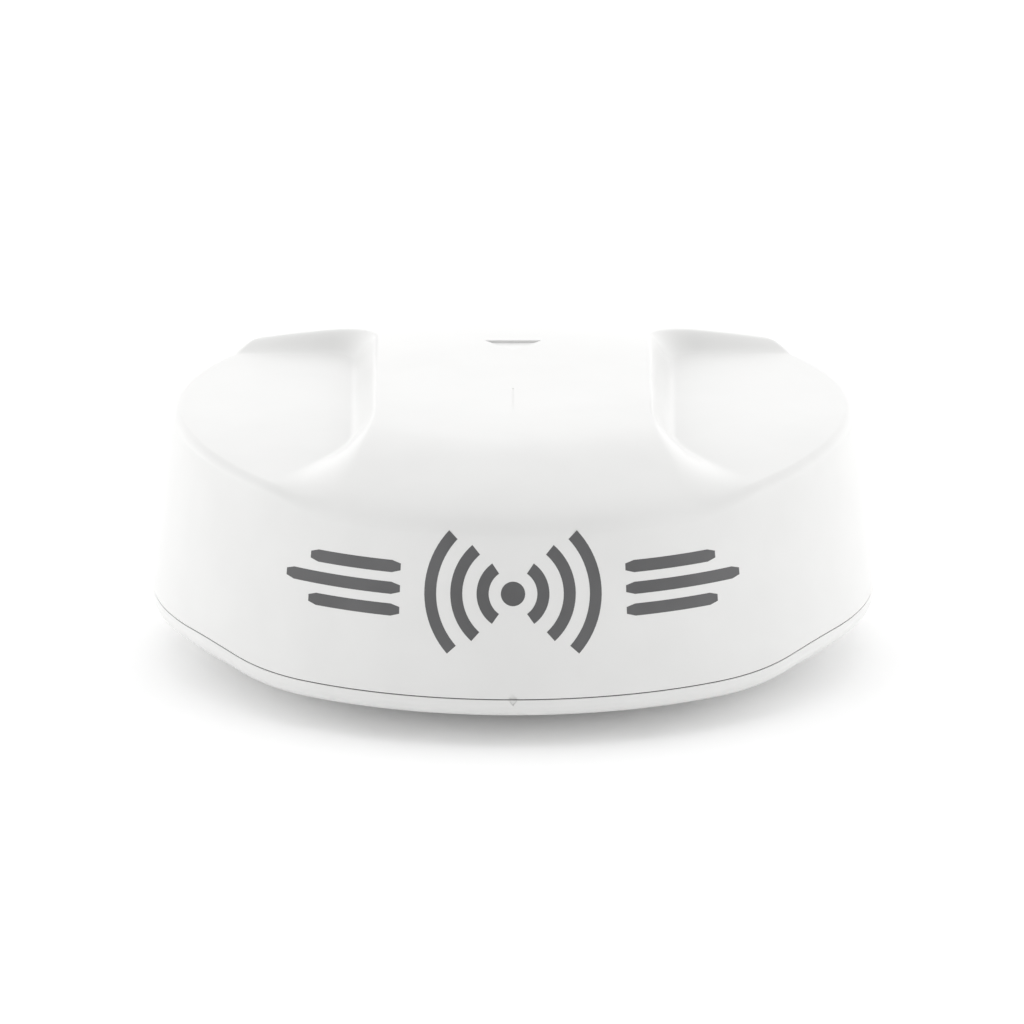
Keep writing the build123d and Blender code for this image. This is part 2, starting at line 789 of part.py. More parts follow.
# ---- Array ----
def make_carrier():
    """Hub and plate that carry the array on the spindle."""
    low = carrier_low_z
    plate_low = low + carrier_hub_height
    plate_top = plate_low + carrier_plate
    half = carrier_length / 2
    carrier = rod(22, low, plate_low)
    carrier = carrier + block(-half, half, -carrier_width / 2, carrier_width / 2, plate_low, plate_top)
    rib = Polyline((20, 0, plate_low), (half - 6, 0, plate_low), (24, 0, low + 1), (20, 0, low + 1),
                   close=True)
    for side in (-1, 1):
        for y in (-12.0, 12.0):
            one = extrude(make_face(rib), 1.5, dir=(0, 1, 0), both=True)
            one = Pos(0, y, 0) * one
            carrier = carrier + (one if side > 0 else mirror(one, Plane.YZ))
    carrier = carrier - rod(spindle_radius, 0, far)
    for x, y in carrier_screw_places():
        carrier = carrier - rod(array_screw_radius, plate_low - 1, plate_top + 1, x, y)
    return carrier


def carrier_screw_places():
    """Screws between the carrier plate and the spine."""
    return corners(carrier_length / 2 - 14, 9)


def make_spine():
    """Bent metal channel behind the array board."""
    half = array_length / 2
    low = array_low_z
    high = low + array_height
    front = -array_depth / 2 + board_thickness + patch_thickness
    back = array_depth / 2
    spine = block(-half, half, front, back, low, high)
    inside_low = low + spine_thickness
    inside_high = high - spine_thickness
    spine = spine - block(-far, far, -far, back - spine_thickness, inside_low, inside_high)
    spine = spine - rod(18, low - 1, low + spine_thickness + 1)
    for x, y in carrier_screw_places():
        spine = spine - rod(array_screw_radius, low - 1, low + spine_thickness + 1, x, y)
    for index in range(8):
        x = -half + (index + 0.5) * array_length / 8
        hole = Pos(x, back, low + array_height / 2) * Rot(90, 0, 0) * Cylinder(14, 4 * spine_thickness)
        spine = spine - hole
    return spine


def make_array_board():
    """Printed board that carries the radiating patches."""
    half = array_length / 2
    front = -array_depth / 2 + patch_thickness
    return block(-half, half, front, front + board_thickness, array_low_z, array_low_z + array_height)


def make_patches():
    """Rows of copper patches on the front of the board."""
    patches = []
    front = -array_depth / 2
    step_x = (array_length - 20) / patch_columns
    step_z = (array_height - 8) / patch_rows
    for column in range(patch_columns):
        for row in range(patch_rows):
            x = (column - (patch_columns - 1) / 2) * step_x
            z = array_low_z + array_height / 2 + (row - (patch_rows - 1) / 2) * step_z
            patch = Pos(x, front + patch_thickness / 2, z) * Box(patch_width, patch_thickness, patch_height)
            patches.append(patch)
    return patches


def make_end_caps():
    """Moulded caps on the two ends of the array."""
    caps = []
    half = array_length / 2
    for side in (-1, 1):
        x = side * (half + end_cap_thickness / 2)
        cap = Pos(x, 0, array_low_z + array_height / 2) * Box(end_cap_thickness, array_depth, array_height)
        caps.append(fillet(cap.edges().filter_by(Axis.X), 3))
    return caps


def make_lead(points, bend, radius):
    """Round lead along straight runs joined by arcs."""
    path = FilletPolyline(*points, radius=bend)
    start = Plane(origin=path @ 0, z_dir=path % 0)
    return sweep(start * Circle(radius), path=path)


# ---- Electronics ----
def make_case():
    """Open metal box of the transceiver with corner posts."""
    half_x = case_length / 2
    half_y = case_width / 2
    x0 = case_centre_x - half_x
    x1 = case_centre_x + half_x
    case = block(x0, x1, -half_y, half_y, case_low_z, case_low_z + case_height)
    case = fillet(case.edges().filter_by(Axis.Z), 5)
    case = case - block(x0 + case_wall, x1 - case_wall, -half_y + case_wall, half_y - case_wall,
                        case_low_z + case_wall, far)
    for x, y in case_screw_places():
        post = rod(case_post_radius, case_low_z, case_low_z + case_height, x, y)
        case = case + post - rod(case_screw_radius, 0, far, x, y)
    return case


def make_case_lid():
    """Flat lid of the transceiver box."""
    half_x = case_length / 2
    half_y = case_width / 2
    low = case_low_z + case_height
    lid = block(case_centre_x - half_x, case_centre_x + half_x, -half_y, half_y, low, low + case_lid)
    lid = fillet(lid.edges().filter_by(Axis.Z), 5)
    for x, y in case_screw_places():
        lid = lid - rod(case_screw_radius, 0, far, x, y)
    return lid


def make_heat_sink():
    """Finned cooler on the lid."""
    low = case_low_z + case_height + case_lid
    half_x = case_length / 2 - 16
    half_y = case_width / 2 - 14
    sink = block(case_centre_x - half_x, case_centre_x + half_x, -half_y, half_y, low, low + sink_base)
    for index in range(fin_count):
        y = -half_y + fin_thickness / 2 + index * (2 * half_y - fin_thickness) / (fin_count - 1)
        sink = sink + block(case_centre_x - half_x, case_centre_x + half_x, y - fin_thickness / 2,
                            y + fin_thickness / 2, low + sink_base - 0.5, low + sink_base + fin_height)
    return sink


def make_board(length, width, x, y):
    """Printed board with its corner holes."""
    half_x = length / 2
    half_y = width / 2
    board = block(x - half_x, x + half_x, y - half_y, y + half_y, board_z, board_z + board_thickness)
    board = fillet(board.edges().filter_by(Axis.Z), 2)
    for hole_x, hole_y in board_screw_places():
        board = board - rod(board_screw_radius, 0, far, hole_x, hole_y)
    return board


def make_modem_parts():
    """Chips, plugs and small parts on the signal board."""
    top = board_z + board_thickness
    x = modem_centre_x
    parts = [block(x - 52, x - 34, -30, -12, top, top + 9), block(x - 52, x - 34, 12, 30, top, top + 9)]
    for index in range(5):
        parts.append(block(x + 22 + index * 7, x + 26 + index * 7, -30, -18, top, top + 1.6))
    for index in range(4):
        parts.append(block(x + 20 + index * 9, x + 26 + index * 9, 16, 28, top, top + 2.2))
    for index in range(3):
        parts.append(rod(4, top, top + 10, x - 20 + index * 11, 36))
    return parts


def make_shield_can():
    """Pressed metal cover over the processor."""
    top = board_z + board_thickness
    x = modem_centre_x
    can = block(x - 26, x + 14, -16, 20, top, top + 6)
    can = fillet(can.edges().filter_by(Axis.Z), 1.5)
    return can - block(x - 25.5, x + 13.5, -15.5, 19.5, top - 1, top + 5.5)


def make_power_parts():
    """Capacitors, coils and plugs on the power board."""
    top = board_z + board_thickness
    y = power_centre_y
    parts = [rod(8, top, top + 22, -28, y - 22), rod(8, top, top + 22, -8, y - 22)]
    parts.append(rod(6.5, top, top + 18, 10, y - 24))
    for x in (-14.0, 14.0):
        parts.append(Pos(x, y + 6, top + 5) * Torus(8.5, 4.5))
    parts.append(block(26, 38, y - 34, y - 4, top, top + 14))
    parts.append(block(-32, -14, y + 24, y + 34, top, top + 9))
    parts.append(block(14, 30, y + 24, y + 34, top, top + 9))
    return parts


def screws_at(places, seat_z, radius, length, head_radius, head_height):
    """Equal screws at several places."""
    return [pan_screw(x, y, seat_z, radius, length, head_radius, head_height) for x, y in places]


# ---- Build and write every node ----
def build():
    """Make the whole assembly."""
    save("radome_cover", make_cover())
    save("cover_inserts", *make_cover_inserts())

    save("base_housing", make_base())
    save("seal_ring", make_seal())
    screws, washers = make_cover_screws()
    save("cover_screws", *screws)
    save("cover_washers", *washers)
    save("mounting_inserts", *make_mounting_inserts())

    power_pins = around(4, 3, 90)
    network_pins = around(4.5, 8, 22.5)
    (power_x, power_y), (network_x, network_y) = socket_places()
    save("power_socket", make_socket(power_x, power_y, power_pins))
    save("network_socket", make_socket(network_x, network_y, network_pins))
    save("socket_nuts", make_socket_nut(power_x, power_y), make_socket_nut(network_x, network_y))
    ground_x, ground_y = ground_place
    save("ground_screw", pan_screw(ground_x, ground_y, foot_hollow_depth, ground_screw_radius, 3.5, 5.0, 2.4,
                                   up=False))
    vent_x, vent_y = vent_place
    vent = rod(8, foot_hollow_depth - 2.2, foot_hollow_depth, vent_x, vent_y)
    vent = vent + rod(vent_stem_radius, foot_hollow_depth, floor_z + 3, vent_x, vent_y)
    save("breather_vent", vent)
    plate = block(-38, 38, 100, 142, foot_hollow_depth - 0.6, foot_hollow_depth)
    save("rating_plate", fillet(plate.edges().filter_by(Axis.Z), 3))

    save("bearing_tower", make_tower())
    tower_seat = tower_seat_z + tower_flange_thickness
    save("tower_screws", *screws_at(tower_screw_places(), tower_seat, tower_screw_radius,
                                    tower_flange_thickness + tower_screw_reach - 1, tower_screw_head, 4))
    outer, inner, balls = make_bearings()
    save("bearing_outer_rings", *outer)
    save("bearing_inner_rings", *inner)
    save("bearing_balls", *balls)
    clip_low = upper_bearing_z + bearing_width
    save("bearing_clip", tube(bearing_outer_radius, outer_ring_radius, clip_low, clip_low + 1.2))
    save("spindle", make_spindle())
    save("spindle_clip", tube(spindle_radius + 3, spindle_radius, lower_bearing_z - 1.2, lower_bearing_z))
    save("drive_gear", make_drive_gear())
    save("zero_magnet", rod(magnet_radius, gear_low_z - 1, gear_low_z + 2, 0, -magnet_circle))
    save("zero_sensor", block(-6, 6, -magnet_circle - 4, -magnet_circle + 4, tower_top_z, tower_top_z + 5))

    save("drive_motor", make_motor())
    save("motor_bracket", make_motor_bracket())
    bracket_top = tower_top_z + bracket_thickness
    save("bracket_screws", *screws_at(bracket_screw_places(), bracket_top, bracket_screw_radius, 7,
                                      3.5, 2.6))
    save("motor_screws", *screws_at(motor_screw_places(), bracket_top, motor_screw_radius, 7, 2.8, 2.2))
    shaft_top = gear_low_z + gear_width + 2
    save("motor_shaft", rod(pinion_shaft_radius, motor_shaft_low_z, shaft_top, 0, centre_distance))
    save("motor_pinion", make_pinion())

    save("antenna_carrier", make_carrier())
    nut = Pos(0, 0, array_low_z) * extrude(RegularPolygon(spindle_nut_radius, 6), spindle_thread_height)
    save("spindle_nut", nut - rod(spindle_radius, 0, far))
    save("antenna_spine", make_spine())
    save("array_board", make_array_board())
    save("array_patches", *make_patches())
    save("array_end_caps", *make_end_caps())
    spine_floor = array_low_z + spine_thickness
    save("carrier_screws", *screws_at(carrier_screw_places(), spine_floor, array_screw_radius,
                                      spine_thickness + carrier_plate - 0.5, 3.8, 2.8))

    stator = rod(tower_bore, tower_seat_z, tower_seat_z + 4) + rod(6, tower_seat_z + 3, spindle_low_z - 1)
    stator = stator + rod(2, spindle_low_z - 2, upper_bearing_z + 8)
    save("rotary_joint_stator", stator)
    cap_top = spindle_top_z + 5
    joint = rod(spindle_bore, upper_bearing_z - 4, spindle_top_z) - rod(2.6, 0, upper_bearing_z + 16)
    joint = joint + rod(7, spindle_top_z, cap_top)
    save("rotary_joint_rotor", joint)
    board_back = -array_depth / 2 + patch_thickness + board_thickness
    feed_z = array_low_z + array_height / 2
    save("feed_cable", make_lead([(0, 0, cap_top), (0, 0, feed_z), (0, board_back, feed_z)], 6, 1.8))

    case = make_case()
    save("transceiver_case", case)
    save("transceiver_lid", make_case_lid())
    save("heat_sink", make_heat_sink())
    lid_top = case_low_z + case_height + case_lid
    save("transceiver_screws", *screws_at(case_screw_places(), lid_top, case_screw_radius,
                                          lid_top - case_low_z + case_screw_reach - 1, 3.8, 2.8))
    rf_x0 = case_centre_x - case_length / 2 + 14
    rf_x1 = case_centre_x + case_length / 2 - 14
    rf_z = case_low_z + case_wall
    save("rf_board", block(rf_x0, rf_x1, -34, 34, rf_z, rf_z + board_thickness))
    rf_parts = []
    for index in range(6):
        x = rf_x0 + 10 + index * 15
        rf_parts.append(block(x, x + 9, -20, -8, rf_z + board_thickness, rf_z + board_thickness + 4))
        rf_parts.append(block(x, x + 7, 6, 18, rf_z + board_thickness, rf_z + board_thickness + 3))
    save("rf_parts", *rf_parts)
    lead_start = case_centre_x + case_length / 2
    lead = Pos(lead_start / 2, 0, rf_lead_z) * Rot(0, 90, 0) * Cylinder(rf_lead_radius, -lead_start)
    save("rf_lead", lead - stator)

    save("modem_board", make_board(modem_length, modem_width, modem_centre_x, 0))
    save("modem_parts", *make_modem_parts())
    save("shield_can", make_shield_can())
    save("power_board", make_board(power_length, power_width, 0, power_centre_y))
    save("power_parts", *make_power_parts())
    standoffs = []
    for x, y in board_screw_places():
        standoffs.append(tube(standoff_radius, board_screw_radius, floor_z, board_z, x, y))
    save("board_standoffs", *standoffs)
    board_top = board_z + board_thickness
    save("board_screws", *screws_at(board_screw_places(), board_top, board_screw_radius, 7, 2.8, 2.2))

    socket_top = pocket_roof_z + base_wall + 8
    lead_x = case_centre_x + case_length / 2 + 8.5
    board_edge = power_centre_y + power_width / 2
    plug_y = power_centre_y + 34
    save("power_lead", make_lead([(power_x, power_y, socket_top), (power_x, power_y, socket_top + 12),
                                  (lead_x, power_y - 40, 32), (lead_x, -60, 26), (-23, board_edge + 4, 26),
                                  (-23, plug_y, 26)], 4, 2.4))
    save("network_lead", make_lead([(network_x, network_y, socket_top),
                                    (network_x, network_y, socket_top + 12), (66, 150, 32), (66, 21, 26),
                                    (modem_centre_x - 52, 21, 26)], 4, 2.4))
    motor_x = motor_side / 2
    motor_plug_x = modem_centre_x - 52
    save("motor_lead", make_lead([(motor_x, centre_distance, 52), (44, centre_distance, 52), (60, 50, 34),
                                  (60, -8, 30), (72, -21, 26), (motor_plug_x, -21, 26)], 4, 2.4))


build()
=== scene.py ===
"""Looks of a boat's radar dome: moulded cover and base, and the turning array, drive and boards inside."""

import math

import bmesh
import bpy
import numpy as np
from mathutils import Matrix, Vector


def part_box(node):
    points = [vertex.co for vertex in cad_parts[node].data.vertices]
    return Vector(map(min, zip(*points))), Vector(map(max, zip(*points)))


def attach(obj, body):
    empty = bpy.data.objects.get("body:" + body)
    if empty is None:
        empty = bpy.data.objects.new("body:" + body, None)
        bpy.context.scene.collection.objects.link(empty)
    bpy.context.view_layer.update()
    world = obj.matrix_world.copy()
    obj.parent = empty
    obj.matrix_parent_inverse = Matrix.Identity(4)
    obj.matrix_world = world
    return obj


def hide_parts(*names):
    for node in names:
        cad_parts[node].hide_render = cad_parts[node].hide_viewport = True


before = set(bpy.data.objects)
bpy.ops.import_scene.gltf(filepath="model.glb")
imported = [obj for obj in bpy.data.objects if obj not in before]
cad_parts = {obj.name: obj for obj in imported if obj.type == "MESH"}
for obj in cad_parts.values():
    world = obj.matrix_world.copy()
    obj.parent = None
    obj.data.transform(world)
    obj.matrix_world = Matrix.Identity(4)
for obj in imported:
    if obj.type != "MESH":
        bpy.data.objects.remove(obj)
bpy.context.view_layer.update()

MM = 0.001


# ---------------------------------------------------------------- sizes, in millimetres
high_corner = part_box("radome_cover")[1]
DOME_RADIUS = high_corner[0] / MM
DOME_TOP = high_corner[2] / MM
WALL = 4.0                     # thickness of the cover
SEAM_FRONT = 44.0              # seam height at the front and back
SEAM_SIDE = 57.4               # seam height at the two sides
SEAM_LEVEL = 150.0             # level at the sides up to this distance from the middle plane
SEAM_DROP = 265.0              # level again beyond this distance
SEAM_GAP = 0.9
SEAM_EDGE = 0.4                # rounding of the two edges that meet at the seam
WALL_POINTS = ((DOME_RADIUS, 59.0), (DOME_RADIUS - 5.3, 126.5), (DOME_RADIUS - 16.7, 216.0))
CROWN_FLAT = 100.0             # the crown is level out to this radius
CROWN_EDGE = 300.0
CROWN_DROP = 18.5
RIM_ROUND = 8.0
RIM_HEIGHT = 225.0             # height at which the rim's radius is taken from the wall
ROLL_REACH = 120.0             # how far in the slow roll-over at the front reaches from the rim
ROLL_LOW = 187.0               # height where the roll-over meets the wall
ROLL_EVEN = 0.35               # share of the turning that is spread evenly along the roll-over
ROLL_FULL = 60.0               # degrees from the front where the roll-over is still full
ROLL_GONE = 110.0              # and where it has gone
FLOOR = 222.0                  # recess floor, level at the back
FLOOR_FALL = 14.5              # how much it falls towards the front
FLOOR_FALL_AT = 245.0
RECESS_INNER = 122.0
RECESS_BACK = 187.0
RECESS_CORNER = 45.0
RECESS_FLARE = 455.0           # plan radius of the curve that leads each recess out to the rim
RECESS_FLARE_FROM = -80.0
RECESS_RUN = 24.0              # plan width of the sloping side
RECESS_RUN_FRONT = 85.0        # and what it grows to at the front
RECESS_RUN_FROM, RECESS_RUN_TO = 90.0, 250.0
FLANGE_INNER = 287.0
FLANGE_HEIGHT = 15.0


# ---------------------------------------------------------------- small helpers
def linear(hex_colour):
    """Linear colour from an sRGB hex value."""
    channels = [int(hex_colour[i:i + 2], 16) / 255 for i in (1, 3, 5)]
    return [c / 12.92 if c <= 0.04045 else ((c + 0.055) / 1.055) ** 2.4 for c in channels] + [1.0]


def add(tree, kind, values=(), links=(), **settings):
    """Adds a node with its settings, input values and incoming links."""
    node = tree.nodes.new(kind)
    for name, value in settings.items():
        setattr(node, name, value)
    for name, value in dict(values).items():
        node.inputs[name].default_value = value
    for name, (source, output) in dict(links).items():
        tree.links.new(source.outputs[output], node.inputs[name])
    return node


def ease(value, start, end):
    """Smooth step from 0 at start to 1 at end."""
    t = np.clip((value - start) / (end - start), 0, 1)
    return t * t * (3 - 2 * t)


def mesh_piece(name, points, faces, material, body, smooth=True):
    """Object from points in millimetres, riding on a body."""
    mesh = bpy.data.meshes.new(name)
    mesh.from_pydata((np.asarray(points, dtype=float) * MM).tolist(), [], faces)
    mesh.update()
    piece = bpy.data.objects.new(name, mesh)
    bpy.context.scene.collection.objects.link(piece)
    mesh.materials.append(material)
    for polygon in mesh.polygons:
        polygon.use_smooth = smooth
    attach(piece, body)
    return piece


# ---------------------------------------------------------------- materials
PLASTIC_DRIFT, METAL_DRIFT = 60, 25      # millimetres over which the colour drifts
METAL_SPREAD = 0.08                      # roughness either side of the stated value


def new_material(name):
    """Empty node material with its shader and output."""
    material = bpy.data.materials.new(name)
    material.use_nodes = True
    tree = material.node_tree
    tree.nodes.clear()
    shader = add(tree, "ShaderNodeBsdfPrincipled")
    add(tree, "ShaderNodeOutputMaterial", links={"Surface": (shader, "BSDF")})
    return material, tree, shader


def surface(tree, shader, tones, gloss_source, gloss, bump_source, depth_mm, cloud_mm):
    """Colour that drifts between two tones, a range of gloss and a bump of a real depth."""
    coords = add(tree, "ShaderNodeTexCoord")
    clouds = add(tree, "ShaderNodeTexNoise", {"Scale": 1 / (cloud_mm * MM), "Detail": 2.0},
                 {"Vector": (coords, "Object")})
    ramp = add(tree, "ShaderNodeValToRGB", links={"Fac": (clouds, "Fac")})
    for element, place, tone in zip(ramp.color_ramp.elements, (0.35, 0.65), tones):
        element.position = place
        element.color = linear(tone)
    rough = add(tree, "ShaderNodeMapRange", {"To Min": gloss[0], "To Max": gloss[1]},
                {"Value": (gloss_source or clouds, "Fac")})
    raised = add(tree, "ShaderNodeBump", {"Strength": 1.0, "Distance": depth_mm * MM},
                 {"Height": (bump_source, "Fac")})
    tree.links.new(ramp.outputs["Color"], shader.inputs["Base Color"])
    tree.links.new(rough.outputs["Result"], shader.inputs["Roughness"])
    tree.links.new(raised.outputs["Normal"], shader.inputs["Normal"])


def moulded(name, colour, other, gloss, grain_mm=0.9, depth_mm=0.002, rough_spread=0.05):
    """Moulded plastic: even colour, a fine skin from the tool and slightly uneven gloss."""
    material, tree, shader = new_material(name)
    coords = add(tree, "ShaderNodeTexCoord")
    skin = add(tree, "ShaderNodeTexNoise", {"Scale": 1 / (grain_mm * MM), "Detail": 3.0},
               {"Vector": (coords, "Object")})
    gloss_range = (gloss - rough_spread, gloss + rough_spread)
    surface(tree, shader, (colour, other), None, gloss_range, skin, depth_mm, PLASTIC_DRIFT)
    shader.inputs["IOR"].default_value = 1.5
    return material


def metal(name, colour, other, rough, grain_mm, depth_mm, stretch=(1, 1, 1), metallic=1.0):
    """Metal with a worked surface; stretch draws the grain out into lines."""
    material, tree, shader = new_material(name)
    coords = add(tree, "ShaderNodeTexCoord")
    mapping = add(tree, "ShaderNodeMapping", {"Scale": stretch}, {"Vector": (coords, "Object")})
    grain = add(tree, "ShaderNodeTexNoise", {"Scale": 1 / (grain_mm * MM), "Detail": 4.0},
                {"Vector": (mapping, "Vector")})
    gloss = (rough - METAL_SPREAD, rough + METAL_SPREAD)
    surface(tree, shader, (colour, other), grain, gloss, grain, depth_mm, METAL_DRIFT)
    shader.inputs["Metallic"].default_value = metallic
    return material


def board_material(name, resist, trace):
    """Printed board: coloured resist over copper tracks that run in two directions."""
    material, tree, shader = new_material(name)
    coords = add(tree, "ShaderNodeTexCoord")
    track_spacing_mm, weave_mm, track_depth_mm = 9.0, 0.5, 0.02
    lines = add(tree, "ShaderNodeTexBrick",
                {"Scale": 1 / (track_spacing_mm * MM), "Mortar Size": 0.035, "Color1": linear(resist),
                 "Color2": linear(resist), "Mortar": linear(trace)}, {"Vector": (coords, "Object")})
    weave = add(tree, "ShaderNodeTexNoise", {"Scale": 1 / (weave_mm * MM), "Detail": 2.0},
                {"Vector": (coords, "Object")})
    rough = add(tree, "ShaderNodeMapRange", {"To Min": 0.28, "To Max": 0.4}, {"Value": (weave, "Fac")})
    raised = add(tree, "ShaderNodeBump", {"Strength": 1.0, "Distance": track_depth_mm * MM},
                 {"Height": (lines, "Fac")})
    tree.links.new(lines.outputs["Color"], shader.inputs["Base Color"])
    tree.links.new(rough.outputs["Result"], shader.inputs["Roughness"])
    tree.links.new(raised.outputs["Normal"], shader.inputs["Normal"])
    return material


# glossy ASA, injection moulded: bright, hard-wearing white with a faint orange peel
white_asa = moulded("white_asa_moulded_gloss", "#DEDEDD", "#E0E0DF", 0.30, 1.6, 0.0012, 0.03)
# screen-printed ink, dark grey and a little duller than the plastic
grey_ink = moulded("grey_ink_screen_printed", "#535354", "#5A5A5B", 0.42, 0.4, 0.003)
seal_rubber = moulded("epdm_rubber_moulded", "#17181A", "#1F2022", 0.62, 0.8, 0.01)
black_nylon = moulded("black_nylon_moulded", "#1B1C1E", "#242527", 0.48, 0.5, 0.012)
gear_acetal = moulded("acetal_machined", "#DAD6C8", "#E2DED0", 0.38, 0.7, 0.004)
black_epoxy = moulded("black_epoxy_chip", "#191A1B", "#222325", 0.55, 0.4, 0.008)
cable_jacket = moulded("pvc_jacket_extruded", "#1A1B1D", "#232427", 0.5, 0.8, 0.01)
laminate = moulded("ptfe_laminate_cream", "#D8D1B6", "#DFD9C2", 0.5, 0.35, 0.006)
label_stock = moulded("polyester_label_grey", "#B9BCBE", "#C1C4C6", 0.35, 0.5, 0.003)
ferrite = moulded("ferrite_sintered", "#2E2F31", "#3A3B3D", 0.6, 0.6, 0.01)
stainless = metal("stainless_steel_turned", "#B9BABB", "#C6C7C8", 0.28, 0.25, 0.004, (1, 1, 6))
zinc_steel = metal("zinc_plated_steel", "#C3C6CA", "#D0D0C8", 0.3, 0.6, 0.003)
brass = metal("brass_turned", "#C79F56", "#D3AE68", 0.26, 0.25, 0.004, (1, 1, 6))
bearing_steel = metal("bearing_steel_ground", "#BFC1C4", "#CBCCCE", 0.14, 0.2, 0.001)
cast_alloy = metal("aluminium_die_cast", "#A6A8AA", "#B4B6B8", 0.46, 0.9, 0.03)
sheet_alloy = metal("aluminium_sheet_brushed", "#B8BABD", "#C3C5C8", 0.34, 0.35, 0.006, (0.04, 1, 1))
copper = metal("copper_etched", "#C98A64", "#D79B74", 0.3, 0.4, 0.003)
tin = metal("tinned_steel_pressed", "#C9CAC6", "#D3D3CE", 0.3, 1.2, 0.006)
enamel = metal("black_enamelled_steel", "#1C1D20", "#26272A", 0.38, 0.5, 0.006, (1, 1, 1), 0.0)
board_green = board_material("glass_epoxy_green_resist", "#14502F", "#1D6A41")

CAD_FINISH = (
    (white_asa, "radome_cover base_housing"),
    (seal_rubber, "seal_ring"),
    (stainless, "cover_screws mounting_inserts ground_screw spindle"),
    (black_nylon, "cover_washers power_socket network_socket breather_vent array_end_caps"),
    (brass, "cover_inserts motor_pinion rotary_joint_stator rotary_joint_rotor board_standoffs"),
    (zinc_steel, "socket_nuts tower_screws bearing_clip spindle_clip bracket_screws motor_screws spindle_nut"
                 " carrier_screws transceiver_screws board_screws"),
    (label_stock, "rating_plate"),
    (cast_alloy, "bearing_tower antenna_carrier transceiver_case"),
    (bearing_steel, "bearing_outer_rings bearing_inner_rings bearing_balls motor_shaft"),
    (gear_acetal, "drive_gear"),
    (ferrite, "zero_magnet"),
    (black_epoxy, "zero_sensor rf_parts modem_parts power_parts"),
    (enamel, "drive_motor"),
    (sheet_alloy, "motor_bracket antenna_spine transceiver_lid heat_sink"),
    (laminate, "array_board"),
    (copper, "array_patches feed_cable rf_lead"),
    (board_green, "rf_board modem_board power_board"),
    (tin, "shield_can"),
    (cable_jacket, "power_lead network_lead motor_lead"),
)
for finish, node_names in CAD_FINISH:
    for node_name in node_names.split():
        cad_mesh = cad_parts[node_name].data
        for place in range(len(cad_mesh.materials)):
            cad_mesh.materials[place] = finish
        if not cad_mesh.materials:
            cad_mesh.materials.append(finish)


# ---------------------------------------------------------------- shape of the dome
def wall_circle():
    """Centre and radius of the arc through the wall's three points."""
    (ax, az), (bx, bz), (cx, cz) = WALL_POINTS
    cross = 2 * (ax * (bz - cz) + bx * (cz - az) + cx * (az - bz))
    aa, bb, cc = ax * ax + az * az, bx * bx + bz * bz, cx * cx + cz * cz
    centre_r = (aa * (bz - cz) + bb * (cz - az) + cc * (az - bz)) / cross
    centre_z = (aa * (cx - bx) + bb * (ax - cx) + cc * (bx - ax)) / cross
    return centre_r, centre_z, math.hypot(ax - centre_r, az - centre_z)


CIRCLE_R, CIRCLE_Z, CIRCLE_RADIUS = wall_circle()


def wall_radius(z):
    """Outside radius of the wall at a height."""
    z = np.maximum(z, WALL_POINTS[0][1])
    return CIRCLE_R + np.sqrt(CIRCLE_RADIUS ** 2 - (z - CIRCLE_Z) ** 2)


def seam_height(y):
    """Height of the seam at a distance y from the middle plane."""
    span = SEAM_DROP - SEAM_LEVEL
    rise = SEAM_SIDE - SEAM_FRONT
    bend = (span * span + rise * rise) / (4 * rise)
    out = np.clip(np.abs(y) - SEAM_LEVEL, 0, span)
    near = SEAM_SIDE - (bend - np.sqrt(bend ** 2 - np.minimum(out, span / 2) ** 2))
    away = SEAM_FRONT + (bend - np.sqrt(bend ** 2 - np.minimum(span - out, span / 2) ** 2))
    return np.where(out <= span / 2, near, away)


def recess_depth_in(x, y):
    """Distance inside the plan outline of a recess, negative outside it."""
    x = np.abs(x)
    side, back = x - RECESS_INNER, RECESS_BACK - y
    in_corner = (side < RECESS_CORNER) & (back < RECESS_CORNER)
    corner_x, corner_y = np.maximum(RECESS_CORNER - side, 0), np.maximum(RECESS_CORNER - back, 0)
    corner = RECESS_CORNER - np.hypot(corner_x, corner_y)
    straight = np.where(in_corner, corner, np.minimum(side, back))
    flare = RECESS_FLARE - np.hypot(x - RECESS_INNER - RECESS_FLARE, y - RECESS_FLARE_FROM)
    return np.where(y > RECESS_FLARE_FROM, straight, flare)


def crown_height(radius):
    """Height of the crown, without its rim."""
    out = np.maximum(radius - CROWN_FLAT, 0) / (CROWN_EDGE - CROWN_FLAT)
    return DOME_TOP - CROWN_DROP * out ** 2


def roll_curve():
    """Radius and height along the slow roll-over, turning evenly from the crown's slope to the wall."""
    start = RIM_RADIUS - ROLL_REACH
    high = float(crown_height(start))
    slope = math.atan(2 * CROWN_DROP * (start - CROWN_FLAT) / (CROWN_EDGE - CROWN_FLAT) ** 2)
    u = np.linspace(0, 1, 400)
    low_power, high_power = 0.5, 6.0
    for _ in range(40):
        power = (low_power + high_power) / 2
        turn = slope + (math.pi / 2 - slope) * (ROLL_EVEN * u + (1 - ROLL_EVEN) * ease(u ** power, 0, 1))
        run, fall = np.cos(turn).mean(), np.sin(turn).mean()
        if run / fall < ROLL_REACH / (high - ROLL_LOW):
            low_power = power
        else:
            high_power = power
    length = ROLL_REACH / run
    step = u[1] * length
    middle = (turn[1:] + turn[:-1]) / 2
    radius = start + np.concatenate(([0], np.cumsum(np.cos(middle)) * step))
    height = high - np.concatenate(([0], np.cumsum(np.sin(middle)) * step))
    return radius, height


RIM_RADIUS = float(wall_radius(RIM_HEIGHT))
ROLL_RADII, ROLL_HEIGHTS = roll_curve()


